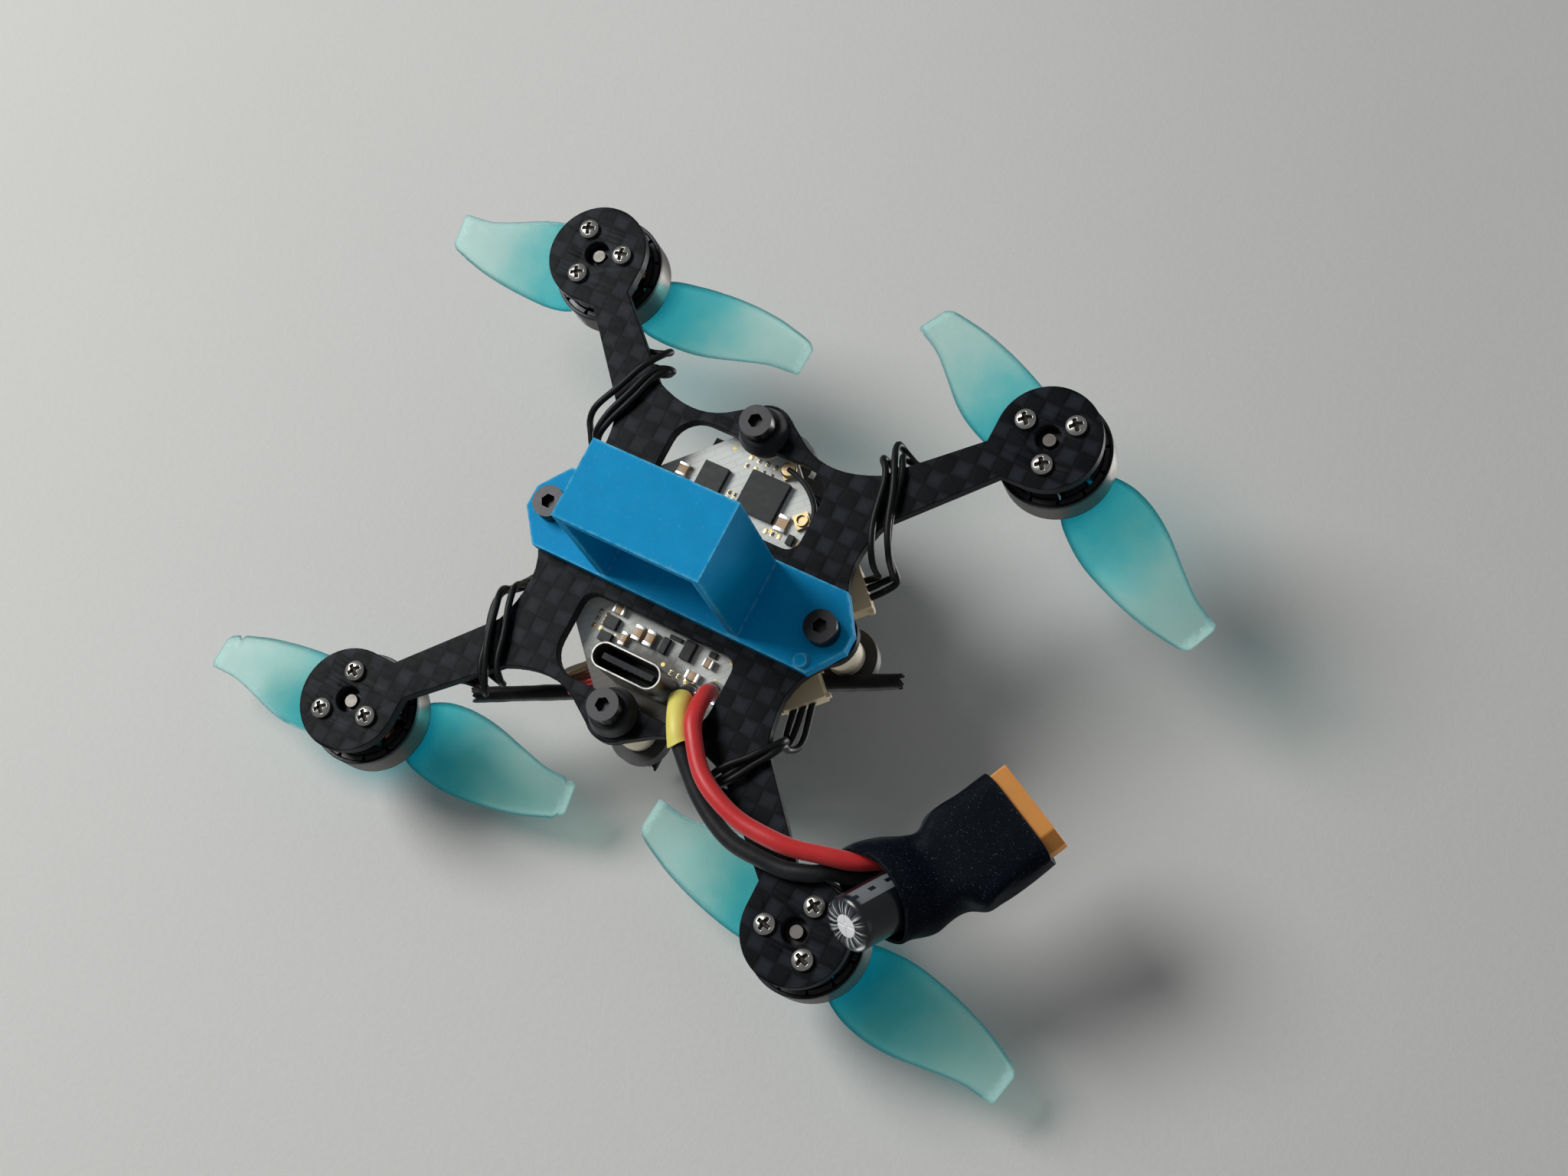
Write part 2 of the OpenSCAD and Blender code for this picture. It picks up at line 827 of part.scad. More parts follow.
module bell(q) {
    hub_r = 2.3;
    slots = 6;
    color("#3b3e43")
        at_motor(q)
            difference() {
                rotate_extrude()
                    polygon([[bell_r - ring_wall, rim_z], [bell_r, rim_z], [bell_r, bell_wall_top],
                        [bell_r - 0.9, bell_top], [hub_r, bell_top], [hub_r, bell_top + 0.2],
                        [shaft_d / 2 + 0.02, bell_top + 0.2], [shaft_d / 2 + 0.02, bell_top - 0.9],
                        [bell_r - 1.5, bell_top - 0.9], [bell_r - ring_wall, bell_wall_top]]);
                for (k = [0:slots - 1])
                    rotate(360 * k / slots)
                        translate([4.1, 0, bell_top - 2])
                            cylinder(r = 0.95, h = 3);
            }
}

module magnets(q) {
    r_out = bell_r - ring_wall - 0.01;
    r_in = r_out - magnet_t;
    color("#7d8186")
        at_motor(q)
            translate([0, 0, rim_z + 0.15])
                linear_extrude(3.6)
                    for (k = [0:magnet_count - 1])
                        rotate(360 * k / magnet_count)
                            intersection() {
                                difference() {
                                    circle(r = r_out);
                                    circle(r = r_in);
                                }
                                translate([5, -1.35])
                                    square([2, 2.7]);
                            }
}

module shaft(q) {
    color("#d2d4d6")
        at_motor(q)
            translate([0, 0, 0.8])
                cylinder(d = shaft_d, h = 13.4);
}

// ---- propellers -----------------------------------------------------------------
// Distances of the leading and trailing edge from the blade's line, by radius
leading_edge = [[2, 1.5], [4, 3.4], [6.5, 4.3], [10, 4.8], [15, 4.6], [19.5, 3.95], [22.5, 2.9],
    [24.6, 1.5], [25.6, -0.6]];
trailing_edge = [[2, -1.5], [4, -3.7], [7, -4.8], [10.5, -5.1], [14, -4.65], [18, -3.45],
    [21.5, -2.5], [25.6, -1.9]];
blade_stations = [2, 3, 4.5, 6.5, 9, 12, 15, 18, 21, 23.5, 25, 25.6];

// Section of the blade: part of the chord from the leading edge, part of the
// thickness; flat-bottomed and thickest a third of the way back
section_shape = [[0, 0], [0.06, 0.5], [0.33, 1], [0.7, 0.7], [1, 0.25], [0.7, -0.05],
    [0.33, -0.1], [0.06, -0.2]];

function blade_section(r, spin) =
    let (a = lookup(r, leading_edge), b = lookup(r, trailing_edge), chord = a - b,
         angle = min(blade_angle_max, 4 + 2.6 * r, atan(prop_pitch / (2 * PI * r))),
         thick = 0.95 - 0.55 * r / 25.6, scale_r = prop_d / 51.2)
    [for (p = section_shape)
        let (y = a - chord * p[0])
        [r * scale_r, spin * y, y * tan(angle) + thick * p[1] - thick / 2]];

module blade(spin) {
    rings = [for (r = blade_stations) let (s = blade_section(r, spin))
        spin > 0 ? [for (k = [0:7]) s[k]] : [for (k = [0:7]) s[7 - k]]];
    skin(rings);
}

module propeller(q, spin, heading) {
    hub_z = bell_top + 0.2;
    color("#49c9c9", 0.75)
        translate([q[0] * motor_xy, q[1] * motor_xy, 0])
            rotate(heading)
                difference() {
                    union() {
                        translate([0, 0, hub_z])
                            cylinder(r = 2.6, h = 2 * (blade_z - hub_z));
                        for (a = [0, 180])
                            rotate(a)
                                translate([0, 0, blade_z])
                                    blade(spin);
                    }
                    translate([0, 0, hub_z - 1])
                        cylinder(d = shaft_d + 0.04, h = 6);
                }
}

// ---- canopy and camera -------------------------------------------------------------
shell_z = grommet_top;
shell_wall = 1.1;
shell_round = 1.5;
foot = [9.1, -11.5, 10.5];   // half width, front and rear of the shell's foot
roof = [8.6, -10.5, -1.5];   // the same for its roof
rail_h = 1.1;

// Rounded slab for the foot or the roof: sizes as above, shrunk by inset
module canopy_slab(sizes, inset, z) {
    r = shell_round;
    for (x = [inset + r - sizes[0], sizes[0] - inset - r], y = [sizes[1] + inset + r, sizes[2] - inset - r])
        translate([x, y, z])
            cylinder(r = r, h = 1, $fn = 32);
}

module canopy_form(inset) {
    hull() {
        canopy_slab(foot, inset, inset > 0 ? shell_z - 1 : shell_z);
        canopy_slab(roof, inset, canopy_h - inset - 1);
    }
}

antenna_a = [-20, 22.6, 8.2];
antenna_b = [25.3, 0.1, 8.2];
antenna_d = 2;

module canopy() {
    boss_x = camera_side / 2 + 0.2;
    boss_l = 3.2;
    opening = camera_side / 2 + 0.5;
    color("#1a1b1d")
        difference() {
            union() {
                difference() {
                    canopy_form(0);
                    canopy_form(shell_wall);
                    translate([-opening, -30, shell_z - 1])
                        cube([2 * opening, 24, canopy_h - shell_wall - shell_z + 1]);
                    for (x = [-5, 0, 5])
                        translate([x - 1, 4, shell_z + 3])
                            cube([2, 20, 6]);
                }
                for (s = [-1, 1]) {
                    translate([s * boss_x, pivot_y, pivot_z])
                        rotate([0, s * 90, 0])
                            cylinder(r = 2.5, h = boss_l);
                    translate([s > 0 ? opening : -foot[0], -17.4, shell_z])
                        cube([foot[0] - opening, 8, rail_h]);
                }
                translate([-foot[0], -17.4, shell_z])
                    cube([2 * foot[0], 1.6, rail_h]);
                at_holes()
                    translate([0, 0, grommet_top])
                        cylinder(r = 3.6, h = ear_top - grommet_top);
                for (s = [-1, 1])
                    translate([s > 0 ? 8.2 : -15.2, -2, shell_z])
                        cube([7, 4, ear_top - shell_z]);
                translate([-2, 9.6, shell_z])
                    cube([4, 6, ear_top - shell_z]);
            }
            at_holes()
                cylinder(r = stack_r + fit, h = 20);
            for (s = [-1, 1])
                translate([s * (boss_x - 1), pivot_y, pivot_z])
                    rotate([0, s * 90, 0])
                        cylinder(r = stack_r + fit, h = boss_l + 2);
            at_video_antenna()
                cylinder(d = antenna_d + 0.2, h = 16);
        }
}

// Camera parts are drawn level about the pivot and turned up to the tilt
module on_camera() {
    translate([0, pivot_y, pivot_z])
        rotate([-camera_tilt, 0, 0])
            children();
}

module camera_body() {
    d = 8;
    color("#18191b")
        on_camera()
            difference() {
                translate([-camera_side / 2, -d / 2, -camera_side / 2])
                    cube([camera_side, d, camera_side]);
                for (s = [-1, 1])
                    translate([s * (camera_side / 2 - 2), 0, 0])
                        rotate([0, s * 90, 0])
                            cylinder(r = stack_r + 0.02, h = 3);
                translate([0, -d / 2 - 1, 0])
                    rotate([-90, 0, 0])
                        cylinder(r = 4.02, h = 3);
            }
}

module camera_lens() {
    color("#101113")
        on_camera()
            translate([0, -2, 0])
                rotate([90, 0, 0])
                    difference() {
                        union() {
                            cylinder(r = 4, h = 8);
                            translate([0, 0, 5])
                                cylinder(r = 4.6, h = 3);
                        }
                        translate([0, 0, 6.2])
                            cylinder(r = 3.3, h = 3);
                    }
}

module lens_glass() {
    color("#27406b")
        on_camera()
            translate([0, -2, 0])
                rotate([90, 0, 0])
                    intersection() {
                        translate([0, 0, 6.2])
                            cylinder(r = 3.27, h = 2);
                        translate([0, 0, 2.6])
                            sphere(r = 5);
                    }
}

module camera_screws() {
    head_x = 10.4;
    color("#2a2a2d")
        on_camera()
            for (s = [-1, 1])
                rotate([0, s * 90, 0]) {
                    translate([0, 0, camera_side / 2 - 1.8])
                        cylinder(r = stack_r, h = head_x - camera_side / 2 + 1.8);
                    translate([0, 0, head_x])
                        difference() {
                            cylinder(r = 1.9, h = 1.2);
                            translate([0, 0, 0.5])
                                cylinder(d = 1.3 / cos(30), h = 2, $fn = 6);
                        }
                }
}

// Camera plug on the upper face at the rear right edge: how far out it reaches,
// how far it sits from the diagonal, and the pitch of its three wires
camera_plug_out = 15.2;
camera_plug_side = -5.3;
camera_plug_h = 2.4;
camera_pitch = 1.1;

module camera_plug() {
    w = 4.2;
    wall = 0.5;
    color("#d6c7a4")
        rotate(135)
            translate([camera_plug_out - 3.6, camera_plug_side - w / 2, board_top])
                difference() {
                    cube([3.6, w, camera_plug_h]);
                    translate([3, wall, wall])
                        cube([1, w - 2 * wall, camera_plug_h - 2 * wall]);
                }
}

// The wires drop from the camera, leave under the canopy's foot and turn back
// into the plug from outside
module camera_cable() {
    out = function (s, z) [-(s + camera_plug_side) / sqrt(2), (s - camera_plug_side) / sqrt(2), z];
    line = smooth([[0, -0.2, 15.6], [-0.6, 3.4, 13.4], [-3.6, 8.8, 8.1], out(16.6, 6.6),
        out(18.2, 6.1), out(17.9, 5.2), out(15.2, 5)], 3);
    for (j = [-1:1])
        color(["#c8242b", "#e5d65c", "#1e1e20"][j + 1])
            wire([for (p = line) p - [1, 1, 0] * camera_pitch * j / sqrt(2)], 0.8, 8);
}

module receiver_antenna() {
    color("#202124")
        rod(antenna_a, antenna_b - antenna_a, antenna_d, norm(antenna_b - antenna_a));
}

module at_video_antenna() {
    translate([0, 6, 14])
        rotate([-78, 0, 0])
            children();
}

module video_antenna() {
    color("#202124")
        at_video_antenna()
            translate([0, 0, 0.5])
                cylinder(d = antenna_d, h = 14);
}

frame_plate();
motor_screws();
stack_screws();
belly_washers();
board_grommets();
stack_nuts();
flight_board();
radio_processor();
board_chips();
board_capacitors();
antenna_sockets();
usb_shell();
usb_tongue();
boot_switch();
boot_button();
esc_transistors();
motor_sockets();
motor_plugs();
battery_holder();
battery_lead_red();
battery_lead_black();
lead_sleeve();
plug_sleeve();
battery_plug();
plug_contacts();
capacitor_can();
capacitor_jacket();
motor_wires(FL, 26.2, 21);  // motor_wires_front_left
motor_wires(FR, 25.6, 21);  // motor_wires_front_right
motor_wires(RL, 25.4, 21);  // motor_wires_rear_left
motor_wires(RR, 26, 21);  // motor_wires_rear_right
motor_bases();
motor_stators();
motor_windings();
motor_bearings();
bell(FL);  // bell_front_left
bell(FR);  // bell_front_right
bell(RL);  // bell_rear_left
bell(RR);  // bell_rear_right
magnets(FL);  // magnets_front_left
magnets(FR);  // magnets_front_right
magnets(RL);  // magnets_rear_left
magnets(RR);  // magnets_rear_right
shaft(FL);  // shaft_front_left
shaft(FR);  // shaft_front_right
shaft(RL);  // shaft_rear_left
shaft(RR);  // shaft_rear_right
propeller(FL, 1, 27);  // propeller_front_left
propeller(FR, -1, -2);  // propeller_front_right
propeller(RL, -1, 9.5);  // propeller_rear_left
propeller(RR, 1, -3.5);  // propeller_rear_right
canopy();
camera_body();
camera_lens();
lens_glass();
camera_screws();
camera_cable();
camera_plug();
receiver_antenna();
video_antenna();
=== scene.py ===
import json
import random
from math import atan, atan2, copysign, cos, degrees, hypot, pi, radians, sin, sqrt, tan

import bmesh
import bpy
import numpy as np
from mathutils import Matrix, Vector


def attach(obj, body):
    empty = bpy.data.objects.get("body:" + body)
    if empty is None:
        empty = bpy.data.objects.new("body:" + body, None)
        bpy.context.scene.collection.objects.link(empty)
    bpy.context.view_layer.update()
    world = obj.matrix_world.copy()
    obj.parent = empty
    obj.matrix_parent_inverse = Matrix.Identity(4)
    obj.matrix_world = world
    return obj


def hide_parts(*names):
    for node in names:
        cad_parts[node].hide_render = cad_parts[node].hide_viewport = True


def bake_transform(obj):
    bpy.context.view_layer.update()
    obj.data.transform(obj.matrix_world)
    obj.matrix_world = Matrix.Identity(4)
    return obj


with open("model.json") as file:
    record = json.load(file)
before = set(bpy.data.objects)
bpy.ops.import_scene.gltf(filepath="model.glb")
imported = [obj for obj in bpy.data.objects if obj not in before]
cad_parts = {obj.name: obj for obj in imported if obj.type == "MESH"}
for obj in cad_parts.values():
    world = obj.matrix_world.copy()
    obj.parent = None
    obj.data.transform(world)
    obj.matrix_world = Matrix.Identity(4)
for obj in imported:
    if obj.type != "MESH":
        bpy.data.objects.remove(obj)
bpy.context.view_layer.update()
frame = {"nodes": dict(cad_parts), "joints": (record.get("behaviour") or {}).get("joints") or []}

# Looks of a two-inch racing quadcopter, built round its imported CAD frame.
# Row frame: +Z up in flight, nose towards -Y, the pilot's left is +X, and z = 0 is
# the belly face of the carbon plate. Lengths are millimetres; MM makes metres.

MM = 0.001
NODES = frame["nodes"]
CORNERS = ("front_left", "front_right", "rear_left", "rear_right")
JOINTS = {j["name"]: j for j in frame["joints"]}
MOTOR = {c: Vector(JOINTS["rotor_spin_" + c]["pos_m"]) / MM for c in CORNERS}
SIGN = {c: (copysign(1, MOTOR[c].x), copysign(1, MOTOR[c].y)) for c in CORNERS}


def link(thing):
    bpy.context.scene.collection.objects.link(thing)


# ---------------- shader helpers

class Value:
    """A node's output that can be added, subtracted, multiplied and divided."""

    def __init__(self, shader, socket):
        self.shader, self.socket = shader, socket

    def __add__(self, other):
        return self.shader.math("ADD", self, other)

    def __sub__(self, other):
        return self.shader.math("SUBTRACT", self, other)

    def __rsub__(self, other):
        return self.shader.math("SUBTRACT", other, self)

    def __mul__(self, other):
        return self.shader.math("MULTIPLY", self, other)

    def __truediv__(self, other):
        return self.shader.math("DIVIDE", self, other)


class Shader:
    """A material's node tree, written as nested calls that return Values."""

    def __init__(self, name):
        self.material = bpy.data.materials.new(name)
        self.material.use_nodes = True
        self.tree = self.material.node_tree
        self.tree.nodes.clear()
        self.output = self.tree.nodes.new("ShaderNodeOutputMaterial")

    def feed(self, socket, value):
        if isinstance(value, Value):
            self.tree.links.new(value.socket, socket)
        elif socket.type == "RGBA" and len(value) == 3:
            socket.default_value = (*value, 1)
        else:
            socket.default_value = value

    def node(self, kind, *values, output=0, settings=None, **sockets):
        """An output of a new node, whose inputs take values in order and sockets by name."""
        node = self.tree.nodes.new("ShaderNode" + kind)
        for key, value in (settings or {}).items():
            setattr(node, key, value)
        for socket, value in zip(node.inputs, values):
            self.feed(socket, value)
        for key, value in sockets.items():
            self.feed(node.inputs[key.replace("_", " ")], value)
        return Value(self, node.outputs[output])

    def math(self, operation, a, b=0.0, clamp=False):
        return self.node("Math", a, b, settings={"operation": operation, "use_clamp": clamp})

    def vector(self, operation, a, b=(0, 0, 0), output="Vector"):
        return self.node("VectorMath", a, b, output=output, settings={"operation": operation})

    def dot(self, a, b):
        return self.vector("DOT_PRODUCT", a, b, "Value")

    def mix(self, factor, a, b):
        node = self.tree.nodes.new("ShaderNodeMix")
        node.data_type = "RGBA"
        node.clamp_factor = True
        for socket, value in ((0, factor), (6, a), (7, b)):
            self.feed(node.inputs[socket], value)
        return Value(self, node.outputs[2])

    def ramp(self, value, low, high):
        """0 below low, 1 above high, smooth between."""
        return self.node("MapRange", value, low, high, settings={"interpolation_type": "SMOOTHSTEP"})

    def place(self):
        """Position in the row frame, in millimetres."""
        return self.node("VectorMath", self.node("TexCoord", output="Object"),
            settings={"operation": "SCALE"}, Scale=1 / MM)

    def split(self, vector):
        node = self.tree.nodes.new("ShaderNodeSeparateXYZ")
        self.feed(node.inputs[0], vector)
        return [Value(self, socket) for socket in node.outputs]

    def noise(self, scale, detail, rough, vector, distort=0.0):
        """Noise whose scale is in cycles per millimetre."""
        return self.node("TexNoise", output="Fac", Vector=vector, Scale=scale, Detail=detail,
            Roughness=rough, Distortion=distort)

    def specks(self, p, scale, low, high):
        """Sparse dots and blotches of dust, frost or wear."""
        return self.ramp(self.noise(scale, 6.0, 0.75, p), low, high)

    def geometry(self, output):
        return self.node("NewGeometry", output=output)

    def flatness(self):
        """1 where the face looks straight up or down, 0 where it stands upright."""
        return self.math("ABSOLUTE", self.split(self.geometry("True Normal"))[2])

    def edge_wear(self, radius):
        """1 on sharp edges, 0 on flat faces, from the bevelled normal."""
        bevel = self.node("Bevel", settings={"samples": 4}, Radius=radius * MM)
        return self.ramp(1.0 - self.dot(bevel, self.geometry("Normal")), 0.02, 0.25)

    def bump(self, height, distance, strength=1.0):
        return self.node("Bump", Height=height, Strength=strength, Distance=distance * MM)

    def surface(self, **sockets):
        return self.node("BsdfPrincipled", **sockets)

    def finish(self, surface=None, **sockets):
        """The material, of a given surface or of a principled one made from the sockets."""
        self.feed(self.output.inputs["Surface"], surface or self.surface(**sockets))
        return self.material


def plastic(name, color, rough=0.45, dust=0.15, wear=None, grain=0.02, grain_scale=6.0, sheen=0.0,
            shine=0.4, dust_color=(0.42, 0.40, 0.36), soft=0.0, haze=0.5, speck=2.6, speck_from=0.64):
    """Moulded plastic or rubber: mottled colour, fine grain, dust specks, worn edges."""
    s = Shader(name)
    p = s.place()
    dark, light = (tuple(min(1.0, c * shade) for c in color) for shade in (0.88, 1.12))
    base = s.mix(s.noise(0.35, 4.0, 0.6, p), dark, light)
    cloud = s.ramp(s.noise(0.5, 5.0, 0.65, p), 0.45, 0.8)
    dusty = (cloud * haze + s.specks(p, speck, speck_from, speck_from + 0.14)) * dust
    base = s.mix(dusty, base, dust_color)
    if wear:
        worn_color, radius, share = wear
        rub = s.edge_wear(radius) * s.ramp(s.noise(1.1, 4.0, 0.6, p), 0.3, 0.65)
        base = s.mix(rub * share, base, worn_color)
    return s.finish(Base_Color=base, Sheen_Weight=sheen, Specular_IOR_Level=shine,
        Roughness=s.math("ADD", s.noise(1.4, 4.0, 0.6, p) * 0.25, rough - 0.12, clamp=True),
        Subsurface_Weight=soft, Subsurface_Scale=0.6 * MM, Normal=s.bump(s.noise(grain_scale, 3.0, 0.6, p),
        grain, 0.6))


def metal(name, color, rough=0.3, grime=0.3, brushed=(1.0, 1.0, 1.0), scratch=0.004,
          dark=(0.03, 0.028, 0.025)):
    """Metal with brushing, smudges and dark grime in its roughness and colour."""
    s = Shader(name)
    p = s.place()
    lines = s.noise(5.0, 4.0, 0.7, s.vector("MULTIPLY", p, brushed))
    smudge = s.noise(0.8, 4.0, 0.6, p)
    base = s.mix(lines, tuple(c * 0.82 for c in color), color)
    base = s.mix(s.ramp(smudge, 0.45, 0.75) * grime, base, dark)
    return s.finish(Base_Color=base, Metallic=0.95, Normal=s.bump(lines, scratch, 0.5),
        Roughness=s.math("ADD", smudge * 0.25, rough - 0.1, clamp=True))


def carbon(name):
    """Plain-weave carbon laminate: 2 mm checks with fibre lines, satin epoxy, dust, ply edges."""
    s = Shader(name)
    p = s.place()
    x, y, _ = s.split(p)
    tow = 2.0
    wave = (s.noise(0.18, 2.0, 0.5, p) - 0.5) * 0.5
    u, v = x / tow + wave, y / tow - wave
    column, row = s.math("FLOOR", u), s.math("FLOOR", v)
    parity = s.math("ABSOLUTE", s.math("MODULO", column + row, 2.0))
    du, dv = (s.math("ABSOLUTE", s.math("FRACT", w) - 0.5) for w in (u, v))
    pillow = 1.0 - s.math("POWER", s.math("MAXIMUM", du, dv) * 2.0, 3.0)
    along_x, along_y, ply = (s.noise(1.0, detail, rough, s.vector("MULTIPLY", p, stretch))
                             for detail, rough, stretch in ((3.0, 0.6, (0.5, 9.0, 1.0)),
                                                            (3.0, 0.6, (9.0, 0.5, 1.0)),
                                                            (2.0, 0.5, (0.6, 0.6, 14.0))))
    fibre = along_x * parity + along_y * (1.0 - parity)
    cell = s.node("TexWhiteNoise", output="Value", settings={"noise_dimensions": "2D"},
        Vector=s.node("CombineXYZ", column, row, 0.0))
    tone = s.math("MULTIPLY", (parity * 0.75 + cell * 0.25) * pillow, fibre + 0.35, clamp=True)
    weave = s.mix(tone, (0.0008, 0.0013, 0.0023), (0.016, 0.0195, 0.027))
    side = s.mix(ply, (0.004, 0.004, 0.0045), (0.03, 0.03, 0.032))
    base = s.mix(s.ramp(s.flatness(), 0.6, 0.9), side, weave)
    film = s.ramp(s.noise(0.16, 5.0, 0.6, p), 0.42, 0.72)
    dusty = s.specks(p, 4.2, 0.61, 0.74) * 0.22 + film * 0.004
    base = s.mix(dusty, base, (0.36, 0.35, 0.32))
    scratch = s.noise(0.9, 5.0, 0.7, s.vector("MULTIPLY", p, (1.0, 4.5, 1.0)), 1.6)
    rough = s.math("ADD", s.noise(0.7, 4.0, 0.65, p) * 0.32, s.ramp(scratch, 0.60, 0.66) * 0.12, clamp=True)
    return s.finish(Base_Color=base, Roughness=rough + 0.26, Specular_IOR_Level=0.06,
        Normal=s.bump(pillow * 0.7 + fibre * 0.3, 0.03, 0.6))


def blade_plastic(name, centre):
    """Translucent turquoise polycarbonate, deep cyan at the hub and frosty at the worn tips."""
    s = Shader(name)
    p = s.place()
    x, y, _ = s.split(p)
    x, y = x - centre.x, y - centre.y
    radius = s.math("SQRT", x * x + y * y)
    reach = radius + (s.noise(0.22, 4.0, 0.55, p) - 0.5) * 9.0
    base = s.mix(s.ramp(reach, 4.0, 13.0), (0.0, 0.41, 0.54), (0.14, 0.64, 0.63))
    base = s.mix(s.ramp(reach, 12.0, 25.0), base, (0.50, 0.78, 0.73))
    rim = s.node("Attribute", output="Fac", settings={"attribute_name": "rim"})
    base = s.mix(rim * 0.85, base, (0.0, 0.20, 0.24))
    frost = s.ramp(radius + s.noise(1.6, 5.0, 0.7, p) * 2.4, 25.2, 26.6)
    scuff = s.ramp(s.noise(1.9, 6.0, 0.8, s.vector("MULTIPLY", p, (1.0, 0.5, 1.0)), 0.8), 0.62, 0.74)
    pale = s.math("MAXIMUM", frost * 0.6, scuff * 0.4)
    base = s.mix(pale * 0.7, base, (0.66, 0.84, 0.80))
    normal = s.bump(s.noise(1.2, 5.0, 0.65, p), 0.02, 0.5)
    solid = s.surface(Base_Color=base, Roughness=s.noise(1.1, 4.0, 0.6, p) * 0.22 + pale * 0.3 + 0.12,
        IOR=1.55, Specular_IOR_Level=0.6, Normal=normal)
    glow = s.node("BsdfTranslucent", Color=base, Normal=normal)
    clear = s.node("BsdfTransparent", s.mix(s.ramp(reach, 5.0, 20.0), (0.26, 0.84, 0.90),
        (0.84, 0.97, 0.95)))
    see = s.math("SUBTRACT", 0.83 - pale * 0.5, rim * 0.35, clamp=True) * s.ramp(radius, 2.0, 8.0)
    return s.finish(s.node("MixShader", see, s.node("MixShader", 0.42, solid, glow), clear))


def board_finish(name):
    """White solder mask with faint traces, gold vias, a brownish dusty haze, and a near-black patch near
    the USB socket, darkest at its middle.
    """
    s = Shader(name)
    p = s.place()
    turned = s.node("VectorRotate", settings={"rotation_type": "Z_AXIS"}, Vector=p, Angle=radians(45))
    route = s.node("TexBrick", output="Fac", settings={"offset": 0.37}, Vector=turned, Scale=0.55,
        Mortar_Size=0.035, Brick_Width=1.7, Row_Height=0.42)
    vias = s.node("TexVoronoi", output="Distance", Vector=s.vector("MULTIPLY", p, (1, 1, 0)), Scale=0.55,
        Randomness=0.9)
    via = s.ramp(0.16 - vias, 0.0, 0.03)
    mask = s.mix(route * 0.35, (0.66, 0.68, 0.65), (0.46, 0.49, 0.47))
    mask = s.mix(s.ramp(s.noise(0.45, 5.0, 0.6, p), 0.5, 0.8) * 0.25, mask, (0.40, 0.38, 0.32))
    # A near-black patch near the USB socket, darkest at its middle and ragged at its edge.
    x, y, _ = s.split(p)
    x, y = x + 0.5, y - 16.5
    away = s.math("SQRT", x * x + y * y) + (s.noise(0.5, 5.0, 0.6, p) - 0.5) * 5.0
    dark_patch = 1.0 - s.ramp(away, 6.0, 10.0)
    mask = s.mix(dark_patch * 0.9, mask, (0.045, 0.039, 0.032))
    return s.finish(Base_Color=s.mix(via, mask, (0.50, 0.36, 0.12)), Roughness=0.45, Coat_Weight=0.06,
        Specular_IOR_Level=0.2, Metallic=via * 0.8, Normal=s.bump(route + via, 0.03, 0.5))


def bell_finish(name):
    """Dark anodised bell with a machined bright band round its side."""
    s = Shader(name)
    p = s.place()
    z = s.split(p)[2]
    band = s.ramp(z, 4.9, 5.1) * (1.0 - s.ramp(z, 8.1, 8.35)) * (1.0 - s.ramp(s.flatness(), 0.2, 0.5))
    turning = s.noise(1.0, 4.0, 0.7, s.vector("MULTIPLY", p, (0.3, 0.3, 16.0)))
    base = s.mix(band, (0.020, 0.021, 0.024), s.mix(turning, (0.09, 0.085, 0.075), (0.17, 0.16, 0.145)))
    worn = s.ramp(s.noise(1.6, 5.0, 0.7, p), 0.56, 0.72)
    base = s.mix(s.edge_wear(0.25) * worn, base, (0.45, 0.44, 0.42))
    base = s.mix(s.specks(p, 2.3, 0.62, 0.8) * 0.3, base, (0.32, 0.30, 0.27))
    return s.finish(Base_Color=base, Metallic=0.75, Normal=s.bump(turning, 0.01, 0.5),
        Roughness=s.noise(1.0, 4.0, 0.6, p) * 0.3 + 0.22)


def copper_finish(name):
    """Enamelled copper wire, laid in turns round each tooth."""
    s = Shader(name)
    shade = s.noise(1.8, 4.0, 0.6, s.place())
    return s.finish(Base_Color=s.mix(shade, (0.16, 0.04, 0.012), (0.42, 0.13, 0.04)), Metallic=0.85,
        Roughness=0.28, Coat_Weight=0.6, Coat_Roughness=0.12, Normal=s.bump(shade, 0.01, 0.4))


def glass_finish(name):
    """Coated lens, blue where it reflects, a little smeared."""
    s = Shader(name)
    smear = s.noise(0.6, 4.0, 0.6, s.place())
    return s.finish(Base_Color=s.mix(smear, (0.004, 0.006, 0.02), (0.012, 0.02, 0.05)), IOR=1.6,
        Roughness=smear * 0.12, Coat_Weight=1.0, Coat_Roughness=0.02, Coat_Tint=(0.45, 0.6, 1.0))


